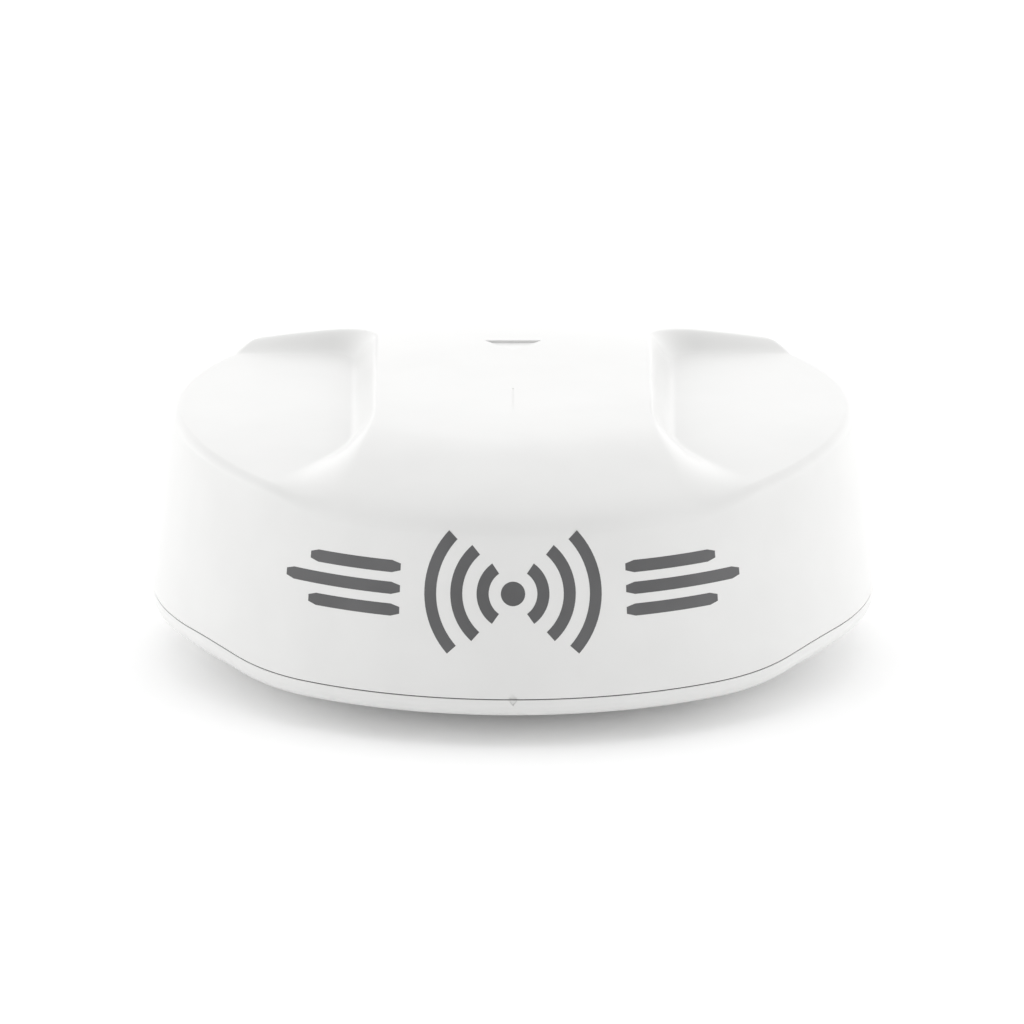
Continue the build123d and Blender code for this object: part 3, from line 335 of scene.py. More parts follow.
def top_height(x, y, inset):
    """Height of the top with its rim: crown with the slow roll-over at the front, and recess floors."""
    radius = np.minimum(np.hypot(x, y) + inset, RIM_RADIUS)
    tight = RIM_ROUND * (1 - np.sqrt(1 - np.clip((radius - RIM_RADIUS) / RIM_ROUND + 1, 0, 1) ** 2))
    crown = crown_height(radius)
    slow = np.where(radius > ROLL_RADII[0], crown - np.interp(radius, ROLL_RADII, ROLL_HEIGHTS), 0)
    front = 1 - ease(np.degrees(np.abs(np.arctan2(x, -y))), ROLL_FULL, ROLL_GONE)
    crown = crown - tight - (slow - tight) * front
    floor = FLOOR - FLOOR_FALL * (np.minimum(y, 0) / FLOOR_FALL_AT) ** 2 - tight
    run = RECESS_RUN + (RECESS_RUN_FRONT - RECESS_RUN) * ease(-y, RECESS_RUN_FROM, RECESS_RUN_TO)
    depth = np.clip((recess_depth_in(x, y) + inset) / run, 0, 1) ** 0.8
    share = depth * depth * (3 - 2 * depth)
    return crown + (floor - crown) * share - inset


def dome_rows(azimuths, radii, rim_steps, wall_steps, inset, foot):
    """Grid of points from the centre of the crown over the rim and down the wall to a foot height."""
    sine, cosine = np.sin(azimuths), -np.cos(azimuths)
    rim = RIM_RADIUS - inset
    turn = 14.0
    rows = list(radii[radii < rim - turn])
    rows += [rim - turn + turn * math.sin(math.pi / 2 * k / rim_steps) for k in range(rim_steps + 1)]
    grid = []
    for row in rows:
        z = top_height(row * sine, row * cosine, inset)
        share = np.clip((row - rim + ROLL_REACH) / ROLL_REACH, 0, 1) ** 6
        r = row + (wall_radius(z) - RIM_RADIUS) * share
        grid.append((r * sine, r * cosine, z))
    high = grid[-1][2]
    bottom = foot(DOME_RADIUS * cosine)
    for k in range(1, wall_steps + 1):
        z = high + (bottom - high) * k / wall_steps
        r = wall_radius(z) - inset
        grid.append((r * sine, r * cosine, z))
    return [np.stack(row, axis=1) for row in grid]


def ring_faces(count, first, second):
    """Quads between two rings of points."""
    return [(first + i, second + i, second + (i + 1) % count, first + (i + 1) % count) for i in range(count)]


FINE_FROM, FINE_TO = 25, 150      # degrees from the front between which the recess sides run


def dense_azimuths(fine_step, coarse_step):
    """Azimuths from the front, closer together where the recess sides run."""
    stops = []
    angle = 0.0
    while angle < 180 - 1e-6:
        stops.append(angle)
        angle += fine_step if FINE_FROM < angle < FINE_TO else coarse_step
    mirrored = [360 - a for a in reversed(stops) if a > 0]
    return np.radians(np.array(stops + [180.0] + mirrored))


def edge_rows(azimuths, start_radius, inner_radius, height, rounding):
    """Rows that turn the wall's edge at the seam and run inwards."""
    sine, cosine = np.sin(azimuths), -np.cos(azimuths)
    rows = []
    for k in range(5):
        bend = math.pi / 2 * k / 4
        r = start_radius - rounding * (1 - math.cos(bend))
        z = height(DOME_RADIUS * cosine) + rounding * (1 - math.sin(bend))
        rows.append(np.stack((r * sine, r * cosine, z), axis=1))
    z = height(inner_radius * cosine)
    rows.append(np.stack((inner_radius * sine, inner_radius * cosine, z), axis=1))
    return rows


def make_cover():
    """Cover as one closed shell: outside, seam edge, flange and inside."""
    azimuths = dense_azimuths(0.6, 1.4)
    count = len(azimuths)
    radii = np.concatenate((np.arange(20, 100, 16.0), np.arange(104, 300, 1.9)))
    seam = lambda y: seam_height(y) + SEAM_GAP / 2
    outer = dome_rows(azimuths, radii, 16, 20, 0.0, lambda y: seam(y) + SEAM_EDGE)
    edge = edge_rows(azimuths, DOME_RADIUS, FLANGE_INNER, seam, SEAM_EDGE)
    outer = outer + edge[1:]
    top_ring = edge[-1].copy()
    top_ring[:, 2] += FLANGE_HEIGHT
    outer.append(top_ring)
    inner_foot = lambda y: seam(y) + FLANGE_HEIGHT
    inner = dome_rows(azimuths, np.arange(30, 300, 9.0), 5, 6, WALL, inner_foot)
    rows = outer + list(reversed(inner))
    points = [(0, 0, DOME_TOP)] + [tuple(p) for row in rows for p in row] + [(0, 0, DOME_TOP - WALL)]
    faces = [(0, 1 + i, 1 + (i + 1) % count) for i in range(count)]
    for index in range(len(rows) - 1):
        faces += ring_faces(count, 1 + index * count, 1 + (index + 1) * count)
    last = 1 + (len(rows) - 1) * count
    end = len(points) - 1
    faces += [(last + i, end, last + (i + 1) % count) for i in range(count)]
    cover = mesh_piece("cover_shell", points, faces, white_asa, "radome")
    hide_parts("radome_cover")
    return cover


def boolean(piece, other, operation):
    """Cuts or joins one closed mesh with another, exactly, and drops the other."""
    modifier = piece.modifiers.new("cut", "BOOLEAN")
    modifier.operation = operation
    modifier.solver = "EXACT"
    modifier.object = other
    graph = bpy.context.evaluated_depsgraph_get()
    mesh = bpy.data.meshes.new_from_object(piece.evaluated_get(graph))
    piece.modifiers.remove(modifier)
    piece.data = mesh
    bpy.data.objects.remove(other)


def cutter(shapes):
    """Closed helper mesh from shapes given as points in millimetres and faces."""
    points, faces = [], []
    for shape_points, shape_faces in shapes:
        start = len(points)
        points += list(shape_points)
        faces += [tuple(start + i for i in face) for face in shape_faces]
    mesh = bpy.data.meshes.new("cutter")
    mesh.from_pydata((np.asarray(points, dtype=float) * MM).tolist(), [], faces)
    mesh.update()
    piece = bpy.data.objects.new("cutter", mesh)
    bpy.context.scene.collection.objects.link(piece)
    return piece


def wedge(outline, low, high):
    """Upright prism from an anticlockwise outline, with a height for each corner at both ends."""
    count = len(outline)
    points = [(x, y, low[i]) for i, (x, y) in enumerate(outline)]
    points += [(x, y, high[i]) for i, (x, y) in enumerate(outline)]
    faces = [tuple(reversed(range(count))), tuple(range(count, 2 * count))]
    faces += [(i, (i + 1) % count, count + (i + 1) % count, count + i) for i in range(count)]
    return points, faces


def block_shape(x0, x1, y0, y1, z0, z1):
    """Square block between two corners."""
    return wedge([(x0, y0), (x1, y0), (x1, y1), (x0, y1)], [z0] * 4, [z1] * 4)


def upright_rod(radius, low, high, x, y, sides=32):
    """Upright round bar."""
    turns = [2 * math.pi * k / sides for k in range(sides)]
    outline = [(x + radius * math.cos(turn), y + radius * math.sin(turn)) for turn in turns]
    return wedge(outline, [low] * sides, [high] * sides)


def smooth_by_angle(piece, degrees):
    """Smooth faces, with sharp edges where the surface turns by more than an angle."""
    mesh = piece.data
    for polygon in mesh.polygons:
        polygon.use_smooth = True
    shape = bmesh.new()
    shape.from_mesh(mesh)
    for edge in shape.edges:
        edge.smooth = len(edge.link_faces) == 2 and edge.calc_face_angle(0) < math.radians(degrees)
    shape.to_mesh(mesh)
    shape.free()


def seam_mark(direction):
    """Small triangle at the seam in the front, pointing up or down."""
    base = SEAM_FRONT + direction * (SEAM_GAP / 2 + SEAM_EDGE * 0.4)
    front, back = -DOME_RADIUS - 2, -DOME_RADIUS + MARK_DEPTH
    half = MARK_WIDTH / 2
    corners = [(-half, base), (half, base), (0, base + direction * MARK_HEIGHT)]
    points = [(x, front, z) for x, z in corners] + [(x, back, z) for x, z in corners]
    faces = [(0, 1, 2), (5, 4, 3), (1, 0, 3, 4), (2, 1, 4, 5), (0, 2, 5, 3)]
    if direction < 0:
        faces = [tuple(reversed(face)) for face in faces]
    return points, faces


ARROW_HALF, ARROW_BACK, ARROW_TIP, ARROW_DEPTH = 25.5, 118.0, 84.0, 2.4
SIGHT_FROM, SIGHT_TO, SIGHT_HALF, SIGHT_DEPTH = -36.0, -115.0, 0.5, 0.35
MARK_WIDTH, MARK_HEIGHT, MARK_DEPTH = 8.0, 5.0, 1.2
SCREW_CIRCLE = DOME_RADIUS - 16.7
SCREW_PLACES = [(SCREW_CIRCLE * math.cos(math.radians(22.5 + 45 * k)),
                 SCREW_CIRCLE * math.sin(math.radians(22.5 + 45 * k))) for k in range(8)]
INSERT_RADIUS, INSERT_LENGTH = 5.05, 13.5


def cut_cover(cover):
    """Arrow pocket, sight groove, seam mark and the holes for the inserts."""
    top = DOME_TOP + 3
    sink = DOME_TOP - ARROW_DEPTH
    shapes = [wedge([(-ARROW_HALF, ARROW_BACK), (0, ARROW_TIP), (ARROW_HALF, ARROW_BACK)],
                    [sink, DOME_TOP + 0.1, sink], [top] * 3),
              block_shape(-SIGHT_HALF, SIGHT_HALF, SIGHT_TO, SIGHT_FROM, DOME_TOP - SIGHT_DEPTH, top),
              seam_mark(1)]
    for x, y in SCREW_PLACES:
        seam = float(seam_height(y))
        shapes.append(upright_rod(INSERT_RADIUS, seam - 2, seam + INSERT_LENGTH, x, y))
    boolean(cover, cutter(shapes), "DIFFERENCE")
    smooth_by_angle(cover, 28)


cover_shell = make_cover()
cut_cover(cover_shell)


# ---------------------------------------------------------------- base
LIP_HEIGHT, LIP_ROUND = 17.0, 11.0
BOWL_RADIUS, BOWL_TOP, FOOT_RADIUS, FOOT_ROUND = DOME_RADIUS - 19.7, 30.0, DOME_RADIUS - 100.7, 2.0
FOOT_HOLLOW, FOOT_HOLLOW_DEPTH, FLOOR_TOP = 186.0, 3.0, 8.0
SEAL_INNER, SEAL_OUTER, SEAL_DEPTH = 291.4, 294.6, 3.0
MOUNT_PLACES = [(sx * 116.5, sy * 70.5) for sx in (-1, 1) for sy in (-1, 1)]
POCKET = (-52.0, 52.0, 182.0, 238.0, -1.0, 26.0)
POCKET_WALL = 4.5
CASE_PLACES = [(-138.0 + sx * 57, sy * 44) for sx in (-1, 1) for sy in (-1, 1)]
TOWER_CIRCLE = 48
TOWER_PLACES = [(TOWER_CIRCLE * math.cos(math.radians(45 + 90 * k)),
                 TOWER_CIRCLE * math.sin(math.radians(45 + 90 * k)))
                for k in range(4)]


def base_rows(azimuths):
    """Rows round the base: seam face, lip, bowl, foot, inner floor and inner wall."""
    sine, cosine = np.sin(azimuths), -np.cos(azimuths)
    seam = seam_height(DOME_RADIUS * cosine) - SEAM_GAP / 2
    lip = seam - LIP_HEIGHT + SEAM_GAP / 2
    rows = [(FLANGE_INNER, seam), (SEAL_INNER, seam), (SEAL_INNER, seam - SEAL_DEPTH),
            (SEAL_OUTER, seam - SEAL_DEPTH), (SEAL_OUTER, seam)]
    for k in range(5):
        bend = math.pi / 2 * k / 4
        rows.append((DOME_RADIUS - SEAM_EDGE * (1 - math.sin(bend)), seam - SEAM_EDGE * (1 - math.cos(bend))))
    for k in range(13):
        bend = math.pi / 2 * k / 12
        rows.append((DOME_RADIUS - LIP_ROUND * (1 - math.cos(bend)), lip + LIP_ROUND * (1 - math.sin(bend))))
    cone = (BOWL_RADIUS - FOOT_RADIUS) / BOWL_TOP
    rows.append((np.minimum(BOWL_RADIUS, FOOT_RADIUS + cone * lip), lip))
    for k in range(9):
        z = np.minimum(lip - 1.0, BOWL_TOP - 1.0) * (1 - k / 9) + FOOT_ROUND * k / 9
        rows.append((FOOT_RADIUS + cone * z, z))
    rows += [(FOOT_RADIUS + 1.5, 0.5 + 0 * seam), (FOOT_RADIUS - 2.5, 0 * seam), (FOOT_HOLLOW, 0 * seam),
             (FOOT_HOLLOW, FOOT_HOLLOW_DEPTH + 0 * seam), (FOOT_HOLLOW / 2, FOOT_HOLLOW_DEPTH + 0 * seam)]
    inner = [(60.0, FLOOR_TOP), (FOOT_RADIUS - 10, FLOOR_TOP), (FOOT_RADIUS - 4, FLOOR_TOP + 0.6),
             (FLANGE_INNER - 3, 27.6), (FLANGE_INNER, 29.0)]
    inner = [(r, z + 0 * seam) for r, z in inner]
    return [[np.stack((r * sine, r * cosine, z), axis=1) for r, z in group] for group in (rows, inner)]


def make_base():
    """Base as one closed shell with its bosses, pocket and holes."""
    azimuths = np.radians(np.arange(0, 360, 0.9))
    count = len(azimuths)
    outer, inner = base_rows(azimuths)
    rows = outer + [None] + inner
    points, starts = [], []
    for row in rows:
        starts.append(len(points))
        points += [(0, 0, FOOT_HOLLOW_DEPTH), (0, 0, FLOOR_TOP)] if row is None else [tuple(p) for p in row]
    faces = []
    for index in range(len(outer) - 1):
        faces += ring_faces(count, starts[index], starts[index + 1])
    middle, below, above = starts[len(outer)], starts[len(outer) - 1], starts[len(outer) + 1]
    faces += [(below + i, middle, below + (i + 1) % count) for i in range(count)]
    faces += [(middle + 1, above + i, above + (i + 1) % count) for i in range(count)]
    for index in range(len(outer) + 1, len(rows) - 1):
        faces += ring_faces(count, starts[index], starts[index + 1])
    faces += ring_faces(count, starts[-1], starts[0])
    base = mesh_piece("base_shell", points, faces, white_asa, "base")
    add_to_base(base)
    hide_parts("base_housing")
    return base


def add_to_base(base):
    """Bosses and pocket walls, then everything that is cut."""
    x0, x1, y0, y1, _, z1 = POCKET
    wall = POCKET_WALL
    solid = [block_shape(x0 - wall, x1 + wall, y0 - wall, y1 + wall, FOOT_HOLLOW_DEPTH + 1.5, z1 + wall)]
    solid += [upright_rod(14, 0.02, 24, x, y, 48) for x, y in MOUNT_PLACES]
    solid += [upright_rod(5, FLOOR_TOP - 1, 12, x, y) for x, y in CASE_PLACES]
    solid += [upright_rod(58, FLOOR_TOP - 1, 14, 0, 0, 96)]
    boolean(base, cutter(solid), "UNION")
    wide = [block_shape(*POCKET)] + [upright_rod(8.05, -1, 18, x, y, 48) for x, y in MOUNT_PLACES]
    wide += [upright_rod(2.5, 5, 15, x, y) for x, y in TOWER_PLACES]
    wide += [upright_rod(2.0, 5, 13, x, y) for x, y in CASE_PLACES]
    wide += [upright_rod(2.5, -1, 7, 62, 150), upright_rod(5, -1, 9, -62, 150), seam_mark(-1)]
    for x, y in SCREW_PLACES:
        wide.append(upright_rod(6.5, -1, float(seam_height(y)) - 8, x, y))
    boolean(base, cutter(wide), "DIFFERENCE")
    narrow = [upright_rod(4.25, 17, 20, x, y) for x, y in MOUNT_PLACES]
    narrow += [upright_rod(9, 25, 32, x, 210) for x in (-25, 25)]
    for x, y in SCREW_PLACES:
        seam = float(seam_height(y))
        narrow.append(upright_rod(3.4, seam - 9, seam + 1, x, y))
    boolean(base, cutter(narrow), "DIFFERENCE")
    smooth_by_angle(base, 28)


base_shell = make_base()


# ---------------------------------------------------------------- printed mark on the front wall
def on_wall(u, v, lift=0.06):
    """Point on the front wall from a distance round it and a height."""
    angle = u / DOME_RADIUS
    r = float(wall_radius(v)) + lift
    return (r * math.sin(angle), -r * math.cos(angle), v)


def printed_shape(name, cells):
    """Thin film of ink that lies on the wall, from quads of places on it."""
    shape = bmesh.new()
    for quad in cells:
        top = [shape.verts.new(Vector(on_wall(u, v, 0.06)) * MM) for u, v in quad]
        shape.faces.new(top)
    bmesh.ops.remove_doubles(shape, verts=shape.verts, dist=1e-6)
    bmesh.ops.recalc_face_normals(shape, faces=shape.faces)
    mesh = bpy.data.meshes.new(name)
    shape.to_mesh(mesh)
    shape.free()
    mesh.materials.append(grey_ink)
    piece = bpy.data.objects.new(name, mesh)
    bpy.context.scene.collection.objects.link(piece)
    return piece


def arc_cells(centre, inner, outer, start, end):
    """Quads along a curved stroke."""
    steps = max(4, int(abs(end - start) / 4))
    cells = []
    for k in range(steps):
        a, b = (math.radians(start + (end - start) * (k + m) / steps) for m in (0, 1))
        ring = [(inner, a), (outer, a), (outer, b), (inner, b)]
        cells.append([(centre[0] + r * math.cos(t), centre[1] + r * math.sin(t)) for r, t in ring])
    return cells


def bar_cells(left, right, low, high):
    """Quads along an upright or level bar with clipped corners."""
    clip = min(right - left, high - low) * 0.22
    steps = max(1, int((right - left) / 8))
    xs = [left + (right - left) * k / steps for k in range(steps + 1)]
    cells = []
    for a, b in zip(xs[:-1], xs[1:]):
        low_a, high_a = (low + clip, high - clip) if a == left else (low, high)
        low_b, high_b = (low + clip, high - clip) if b == right else (low, high)
        cells.append([(a, low_a), (b, low_b), (b, high_b), (a, high_a)])
    return cells


SWEEP_MIDDLE, SWEEP_DOT = 140.0, 11
SWEEP_RINGS = ((22, 33), (46, 57), (70, 81))
SWEEP_BARS = ((154, 165, 196), (134.5, 145.5, 222), (115, 126, 196))     # low, high, outer end
SWEEP_BAR_NEAR = 104


def make_mark():
    """Generic radar sweep: arcs that widen to both sides of a dot, with level bars."""
    middle = SWEEP_MIDDLE
    cells = arc_cells((0, middle), 0.01, SWEEP_DOT, 0, 360)
    for ring, (inner, outer) in enumerate(SWEEP_RINGS):
        reach = 55 - 6 * ring
        cells += arc_cells((0, middle), inner, outer, -reach, reach)
        cells += arc_cells((0, middle), inner, outer, 180 - reach, 180 + reach)
    for side in (-1, 1):
        for low, high, far in SWEEP_BARS:
            left, right = sorted((side * SWEEP_BAR_NEAR, side * far))
            cells += bar_cells(left, right, low, high)
    mark = printed_shape("front_mark", cells)
    mark.data.update()
    for polygon in mark.data.polygons:
        polygon.use_smooth = True
    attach(mark, "radome")
    return mark


front_mark = make_mark()


# ---------------------------------------------------------------- repeated pieces, grown by node trees
def grown(name, build, sizes, material, body):
    """Plain mesh from a node tree; build adds the tree's own nodes, and sizes become its named inputs."""
    tree = bpy.data.node_groups.new(name, "GeometryNodeTree")
    for label, value in sizes.items():
        kind = "NodeSocketInt" if isinstance(value, int) else "NodeSocketFloat"
        tree.interface.new_socket(label, in_out="INPUT", socket_type=kind)
    tree.interface.new_socket("Geometry", in_out="OUTPUT", socket_type="NodeSocketGeometry")
    shape, output = build(tree, add(tree, "NodeGroupInput"))
    real = add(tree, "GeometryNodeRealizeInstances", links={"Geometry": (shape, output)})
    painted = add(tree, "GeometryNodeSetMaterial", {"Material": material}, {"Geometry": (real, "Geometry")})
    add(tree, "NodeGroupOutput", links={"Geometry": (painted, "Geometry")})
    piece = bpy.data.objects.new(name, bpy.data.meshes.new(name))
    bpy.context.scene.collection.objects.link(piece)
    modifier = piece.modifiers.new("shape", "NODES")
    modifier.node_group = tree
    for socket in tree.interface.items_tree:
        if socket.in_out == "INPUT":
            modifier[socket.identifier] = sizes[socket.name]
    graph = bpy.context.evaluated_depsgraph_get()
    mesh = bpy.data.meshes.new_from_object(piece.evaluated_get(graph))
    piece.modifiers.remove(modifier)
    piece.data = mesh
    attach(piece, body)
    return piece


def patch_rows(tree, given):
    """Grid of copper patches, each with the narrow feed line that joins its column."""
    grid = add(tree, "GeometryNodeMeshGrid",
               links={"Size X": (given, "Span X"), "Size Y": (given, "Span Z"),
                      "Vertices X": (given, "Columns"), "Vertices Y": (given, "Rows")})
    upright = add(tree, "GeometryNodeTransform", {"Rotation": (math.pi / 2, 0, 0)},
                  {"Geometry": (grid, "Mesh")})
    front = add(tree, "ShaderNodeCombineXYZ", links={"Y": (given, "Front"), "Z": (given, "Middle")})
    placed = add(tree, "GeometryNodeTransform",
                 links={"Geometry": (upright, "Geometry"), "Translation": (front, "Vector")})
    patch_size = add(tree, "ShaderNodeCombineXYZ",
                     links={"X": (given, "Width"), "Y": (given, "Thickness"), "Z": (given, "Height")})
    patch = add(tree, "GeometryNodeMeshCube", links={"Size": (patch_size, "Vector")})
    feed_size = add(tree, "ShaderNodeCombineXYZ",
                    links={"X": (given, "Line"), "Y": (given, "Thickness"), "Z": (given, "Pitch")})
    feed = add(tree, "GeometryNodeMeshCube", links={"Size": (feed_size, "Vector")})
    sink = add(tree, "ShaderNodeCombineXYZ", links={"Y": (given, "Sink")})
    sunk = add(tree, "GeometryNodeTransform",
               links={"Geometry": (feed, "Mesh"), "Translation": (sink, "Vector")})
    both = add(tree, "GeometryNodeJoinGeometry", links={"Geometry": (patch, "Mesh")})
    tree.links.new(sunk.outputs["Geometry"], both.inputs["Geometry"])
    return add(tree, "GeometryNodeInstanceOnPoints",
               links={"Points": (placed, "Geometry"), "Instance": (both, "Geometry")}), "Instances"


def cooler(tree, given):
    """Base plate with a row of fins that narrow towards the top."""
    first = add(tree, "ShaderNodeCombineXYZ",
                links={"X": (given, "Middle X"), "Y": (given, "First Y"), "Z": (given, "Fin Z")})
    step = add(tree, "ShaderNodeCombineXYZ", links={"Y": (given, "Pitch")})
    line = add(tree, "GeometryNodeMeshLine",
               links={"Count": (given, "Fins"), "Start Location": (first, "Vector"),
                      "Offset": (step, "Vector")})
    fin_size = add(tree, "ShaderNodeCombineXYZ",
                   links={"X": (given, "Length"), "Y": (given, "Thickness"), "Z": (given, "Fin Height")})
    fin = add(tree, "GeometryNodeMeshCube", links={"Size": (fin_size, "Vector")})
    place = add(tree, "GeometryNodeInputPosition")
    parts = add(tree, "ShaderNodeSeparateXYZ", links={"Vector": (place, "Position")})
    top = add(tree, "ShaderNodeMath", {1: 0.0}, {0: (parts, "Z")}, operation="GREATER_THAN")
    share = add(tree, "ShaderNodeMath", {2: 1.0}, {0: (top, "Value"), 1: (given, "Taper")},
                operation="MULTIPLY_ADD")
    narrow = add(tree, "ShaderNodeMath", links={0: (parts, "Y"), 1: (share, "Value")}, operation="MULTIPLY")
    joined = add(tree, "ShaderNodeCombineXYZ",
                 links={"X": (parts, "X"), "Y": (narrow, "Value"), "Z": (parts, "Z")})
    tapered = add(tree, "GeometryNodeSetPosition",
                  links={"Geometry": (fin, "Mesh"), "Position": (joined, "Vector")})
    fins = add(tree, "GeometryNodeInstanceOnPoints",
               links={"Points": (line, "Mesh"), "Instance": (tapered, "Geometry")})
    plate_size = add(tree, "ShaderNodeCombineXYZ",
                     links={"X": (given, "Length"), "Y": (given, "Width"), "Z": (given, "Plate")})
    plate = add(tree, "GeometryNodeMeshCube", links={"Size": (plate_size, "Vector")})
    seat = add(tree, "ShaderNodeCombineXYZ", links={"X": (given, "Middle X"), "Z": (given, "Plate Z")})
    low = add(tree, "GeometryNodeTransform",
              links={"Geometry": (plate, "Mesh"), "Translation": (seat, "Vector")})
    both = add(tree, "GeometryNodeJoinGeometry", links={"Geometry": (fins, "Instances")})
    tree.links.new(low.outputs["Geometry"], both.inputs["Geometry"])
    return both, "Geometry"


def leg_rows(tree, given):
    """Two rows of short tinned legs along a row of chips."""
    grid = add(tree, "GeometryNodeMeshGrid",
               links={"Size X": (given, "Span X"), "Size Y": (given, "Span Y"),
                      "Vertices X": (given, "Legs"), "Vertices Y": (given, "Rows")})
    middle = add(tree, "ShaderNodeCombineXYZ",
                 links={"X": (given, "Middle X"), "Y": (given, "Middle Y"), "Z": (given, "Middle Z")})
    placed = add(tree, "GeometryNodeTransform",
                 links={"Geometry": (grid, "Mesh"), "Translation": (middle, "Vector")})
    leg_size = add(tree, "ShaderNodeCombineXYZ",
                   links={"X": (given, "Width"), "Y": (given, "Length"), "Z": (given, "Height")})
    leg = add(tree, "GeometryNodeMeshCube", links={"Size": (leg_size, "Vector")})
    return add(tree, "GeometryNodeInstanceOnPoints",
               links={"Points": (placed, "Geometry"), "Instance": (leg, "Mesh")}), "Instances"


def metres(sizes):
    """Sizes in millimetres as metres; whole numbers are counts and stay as they are."""
    return {label: value if isinstance(value, int) else value * MM for label, value in sizes.items()}


def node_box(name):
    """Box of a CAD node in millimetres."""
    return [[v / MM for v in corner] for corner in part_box(name)]


def make_patches():
    """Copper patches on the front of the array board."""
    low, high = node_box("array_patches")
    span_z = high[2] - low[2] - PATCH_HEIGHT
    sizes = {"Columns": PATCH_COLUMNS, "Rows": PATCH_ROWS, "Span X": high[0] - low[0] - PATCH_WIDTH,
             "Span Z": span_z, "Front": (low[1] + high[1]) / 2, "Middle": (low[2] + high[2]) / 2,
             "Width": PATCH_WIDTH, "Height": PATCH_HEIGHT, "Thickness": high[1] - low[1],
             "Line": FEED_WIDTH, "Pitch": span_z / (PATCH_ROWS - 1), "Sink": FEED_SINK}
    piece = grown("patch_array", patch_rows, metres(sizes), copper, "rotor")
    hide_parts("array_patches")


def make_cooler():
    """Extruded cooler on the transceiver's lid."""
    low, high = node_box("heat_sink")
    width = high[1] - low[1]
    fin_height = high[2] - low[2] - COOLER_PLATE + FIN_ROOT
    sizes = metres({"Fins": FIN_COUNT, "Middle X": (low[0] + high[0]) / 2,
                    "First Y": low[1] + FIN_THICKNESS / 2, "Pitch": (width - FIN_THICKNESS) / (FIN_COUNT - 1),
                    "Length": high[0] - low[0], "Width": width, "Plate": COOLER_PLATE,
                    "Plate Z": low[2] + COOLER_PLATE / 2, "Thickness": FIN_THICKNESS,
                    "Fin Height": fin_height, "Fin Z": high[2] - fin_height / 2})
    sizes["Taper"] = -FIN_TAPER
    piece = grown("finned_cooler", cooler, sizes, sheet_alloy, "base")
    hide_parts("heat_sink")


def make_legs():
    """Legs beside the chips on the signal board and the rf board."""
    for name, legs, first, last, middle_y, board_top in CHIP_ROWS:
        sizes = {"Legs": legs, "Rows": 2, "Span X": last - first, "Span Y": LEG_REACH,
                 "Middle X": (first + last) / 2, "Middle Y": middle_y, "Middle Z": board_top + LEG_HEIGHT / 2,
                 "Width": LEG_WIDTH, "Length": LEG_LENGTH, "Height": LEG_HEIGHT}
        piece = grown(name, leg_rows, metres(sizes), tin, "base")


PATCH_COLUMNS, PATCH_ROWS, PATCH_WIDTH, PATCH_HEIGHT = 26, 3, 12.0, 14.0
FEED_WIDTH, FEED_SINK = 1.6, 0.1
FIN_COUNT, FIN_THICKNESS, FIN_TAPER, FIN_ROOT, COOLER_PLATE = 11, 2.0, 0.4, 0.5, 3.0
LEG_WIDTH, LEG_LENGTH, LEG_HEIGHT = 0.5, 1.6, 0.35
LEG_REACH = 13.2               # between the two rows of legs
CHIP_ROWS = (                  # name, legs, first and last place, middle, top of the board
    ("signal_chip_legs", 21, 160.5, 191.5, -24.0, 19.6),
    ("driver_chip_legs", 22, 158.5, 190.5, 22.0, 19.6),
    ("rf_chip_legs", 56, -176.5, -93.5, -14.0, 16.6))
make_patches()
make_cooler()
make_legs()


# ---------------------------------------------------------------- dark lip in the seam, painted shade of the seam gap
# sizes of the dark lip that paints the shade inside the seam gap
SHADE_LIP_OUTER, SHADE_LIP_INNER, SHADE_LIP_HALF = DOME_RADIUS - 1.0, DOME_RADIUS - 8.0, SEAM_GAP / 2 - 0.05


def make_seam_shade_lip():
    """Dark rubber lip just inside the wall, put in the seam as painted shade: it makes the narrow gap read
    dark.
    """
    azimuths = np.radians(np.arange(0, 360, 0.9))
    count = len(azimuths)
    sine, cosine = np.sin(azimuths), -np.cos(azimuths)
    corners = ((SHADE_LIP_OUTER, SHADE_LIP_HALF), (SHADE_LIP_OUTER, -SHADE_LIP_HALF), (SHADE_LIP_INNER, -SHADE_LIP_HALF),
               (SHADE_LIP_INNER, SHADE_LIP_HALF))
    points, faces = [], []
    for r, rise in corners:
        row = np.stack((r * sine, r * cosine, seam_height(DOME_RADIUS * cosine) + rise), axis=1)
        points += [tuple(p) for p in row]
    for index in range(len(corners)):
        faces += ring_faces(count, index * count, (index + 1) % len(corners) * count)
    # the dark lip stands in for the shade deep in the narrow seam gap
    shade_lip = mesh_piece("seam_shade_lip", points, faces, seal_rubber, "base")
    smooth_by_angle(shade_lip, 28)


make_seam_shade_lip()


# ---------------------------------------------------------------- floor, light and camera
MIDDLE_GLOW = 0.95             # surroundings: level between front and back, and what each direction adds
BACK_GLOW = 0.43
SIDE_GLOW = 0.75
SIDE_PEAK = 0.50
TOP_GLOW = -0.30
LOW_BACK_GLOW = 0.12
TOP_POWER = 12.0               # watts of the one large light above


def make_stage():
    """Plain pale floor."""
    material, _, shader = new_material("studio_floor_white")
    shader.inputs["Base Color"].default_value = linear("#FFFFFF")
    shader.inputs["Roughness"].default_value = 0.9
    shader.inputs["Specular IOR Level"].default_value = 0.0
    shader.inputs["Emission Color"].default_value = (1, 1, 1, 1)
    shader.inputs["Emission Strength"].default_value = 0.06
    mesh = bpy.data.meshes.new("studio_floor")
    half = 60.0
    corners = [(-half, -half, 0), (half, -half, 0), (half, half, 0), (-half, half, 0)]
    mesh.from_pydata(corners, [], [(0, 1, 2, 3)])
    mesh.materials.append(material)
    floor = bpy.data.objects.new("studio_floor", mesh)
    bpy.context.scene.collection.objects.link(floor)


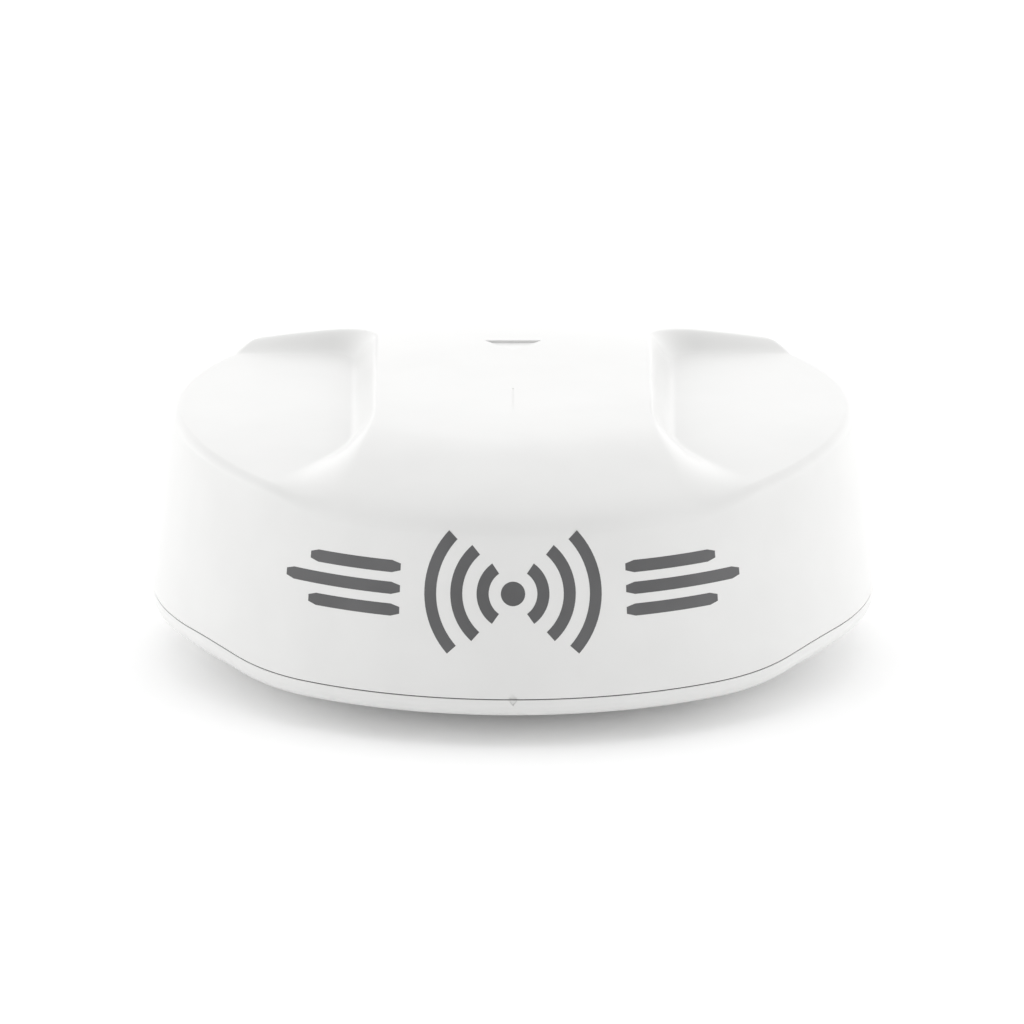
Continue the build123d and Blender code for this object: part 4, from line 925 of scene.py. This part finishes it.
def area_light(name, place, aim, size, power):
    """Soft rectangular light aimed at a point."""
    data = bpy.data.lights.new(name, "AREA")
    data.shape = "RECTANGLE"
    data.size, data.size_y = size
    data.energy = power
    light = bpy.data.objects.new(name, data)
    light.location = place
    light.rotation_euler = (Vector(aim) - Vector(place)).to_track_quat("-Z", "Y").to_euler()
    bpy.context.scene.collection.objects.link(light)


def make_camera():
    """Long lens in front, a little above the dome."""
    data = bpy.data.cameras.new("camera")
    data.lens = 1000
    data.sensor_width = 36
    data.clip_end = 200
    camera = bpy.data.objects.new("camera", data)
    frame_width = 0.9169
    distance = data.lens / data.sensor_width * frame_width
    raised = math.radians(16.5)
    target = Vector((-0.0009, 0, 0.1220))
    camera.location = target + distance * Vector((0, -math.cos(raised), math.sin(raised)))
    camera.rotation_euler = (target - camera.location).to_track_quat("-Z", "Y").to_euler()
    bpy.context.scene.collection.objects.link(camera)
    bpy.context.scene.camera = camera


def make_world():
    """Soft studio surroundings: dim in front, bright at both sides, even above and behind."""
    world = bpy.data.worlds.new("studio_world")
    bpy.context.scene.world = world
    world.use_nodes = True
    tree = world.node_tree
    direction = add(tree, "ShaderNodeTexCoord")
    square = add(tree, "ShaderNodeVectorMath", {0: (0, 0, 0)}, operation="MULTIPLY")
    tree.links.new(direction.outputs["Generated"], square.inputs[0])
    tree.links.new(direction.outputs["Generated"], square.inputs[1])
    even = add(tree, "ShaderNodeVectorMath", {1: (SIDE_GLOW, 0, TOP_GLOW)}, {0: (square, "Vector")},
               operation="DOT_PRODUCT")
    fourth = add(tree, "ShaderNodeVectorMath", links={0: (square, "Vector"), 1: (square, "Vector")},
                 operation="MULTIPLY")
    peak = add(tree, "ShaderNodeVectorMath", {1: (SIDE_PEAK, 0, 0)}, {0: (fourth, "Vector")},
               operation="DOT_PRODUCT")
    sides = add(tree, "ShaderNodeMath", links={0: (even, "Value"), 1: (peak, "Value")}, operation="ADD")
    along = add(tree, "ShaderNodeVectorMath", {1: (0, BACK_GLOW, 0)}, {0: (direction, "Generated")},
                operation="DOT_PRODUCT")
    total = add(tree, "ShaderNodeMath", links={0: (sides, "Value"), 1: (along, "Value")}, operation="ADD")
    level = add(tree, "ShaderNodeMath", {1: MIDDLE_GLOW}, {0: (total, "Value")}, operation="ADD")
    behind = add(tree, "ShaderNodeSeparateXYZ", links={0: (direction, "Generated")})
    clipped = add(tree, "ShaderNodeMath", {1: 0.0}, {0: (behind, "Y")}, operation="MAXIMUM")
    cube = add(tree, "ShaderNodeMath", {1: 3.0}, {0: (clipped, "Value")}, operation="POWER")
    low_back = add(tree, "ShaderNodeMath", {1: LOW_BACK_GLOW}, {0: (cube, "Value")}, operation="MULTIPLY")
    final = add(tree, "ShaderNodeMath", links={0: (level, "Value"), 1: (low_back, "Value")}, operation="ADD")
    tree.links.new(final.outputs["Value"], tree.nodes["Background"].inputs["Strength"])
    tree.nodes["Background"].inputs["Color"].default_value = (1, 1, 1, 1)


make_stage()
make_world()
area_light("top_light", (0, 0.5, 3.2), (0, 0, 0.1), (3.0, 3.0), TOP_POWER)
make_camera()
bpy.context.scene.view_settings.view_transform = "Standard"
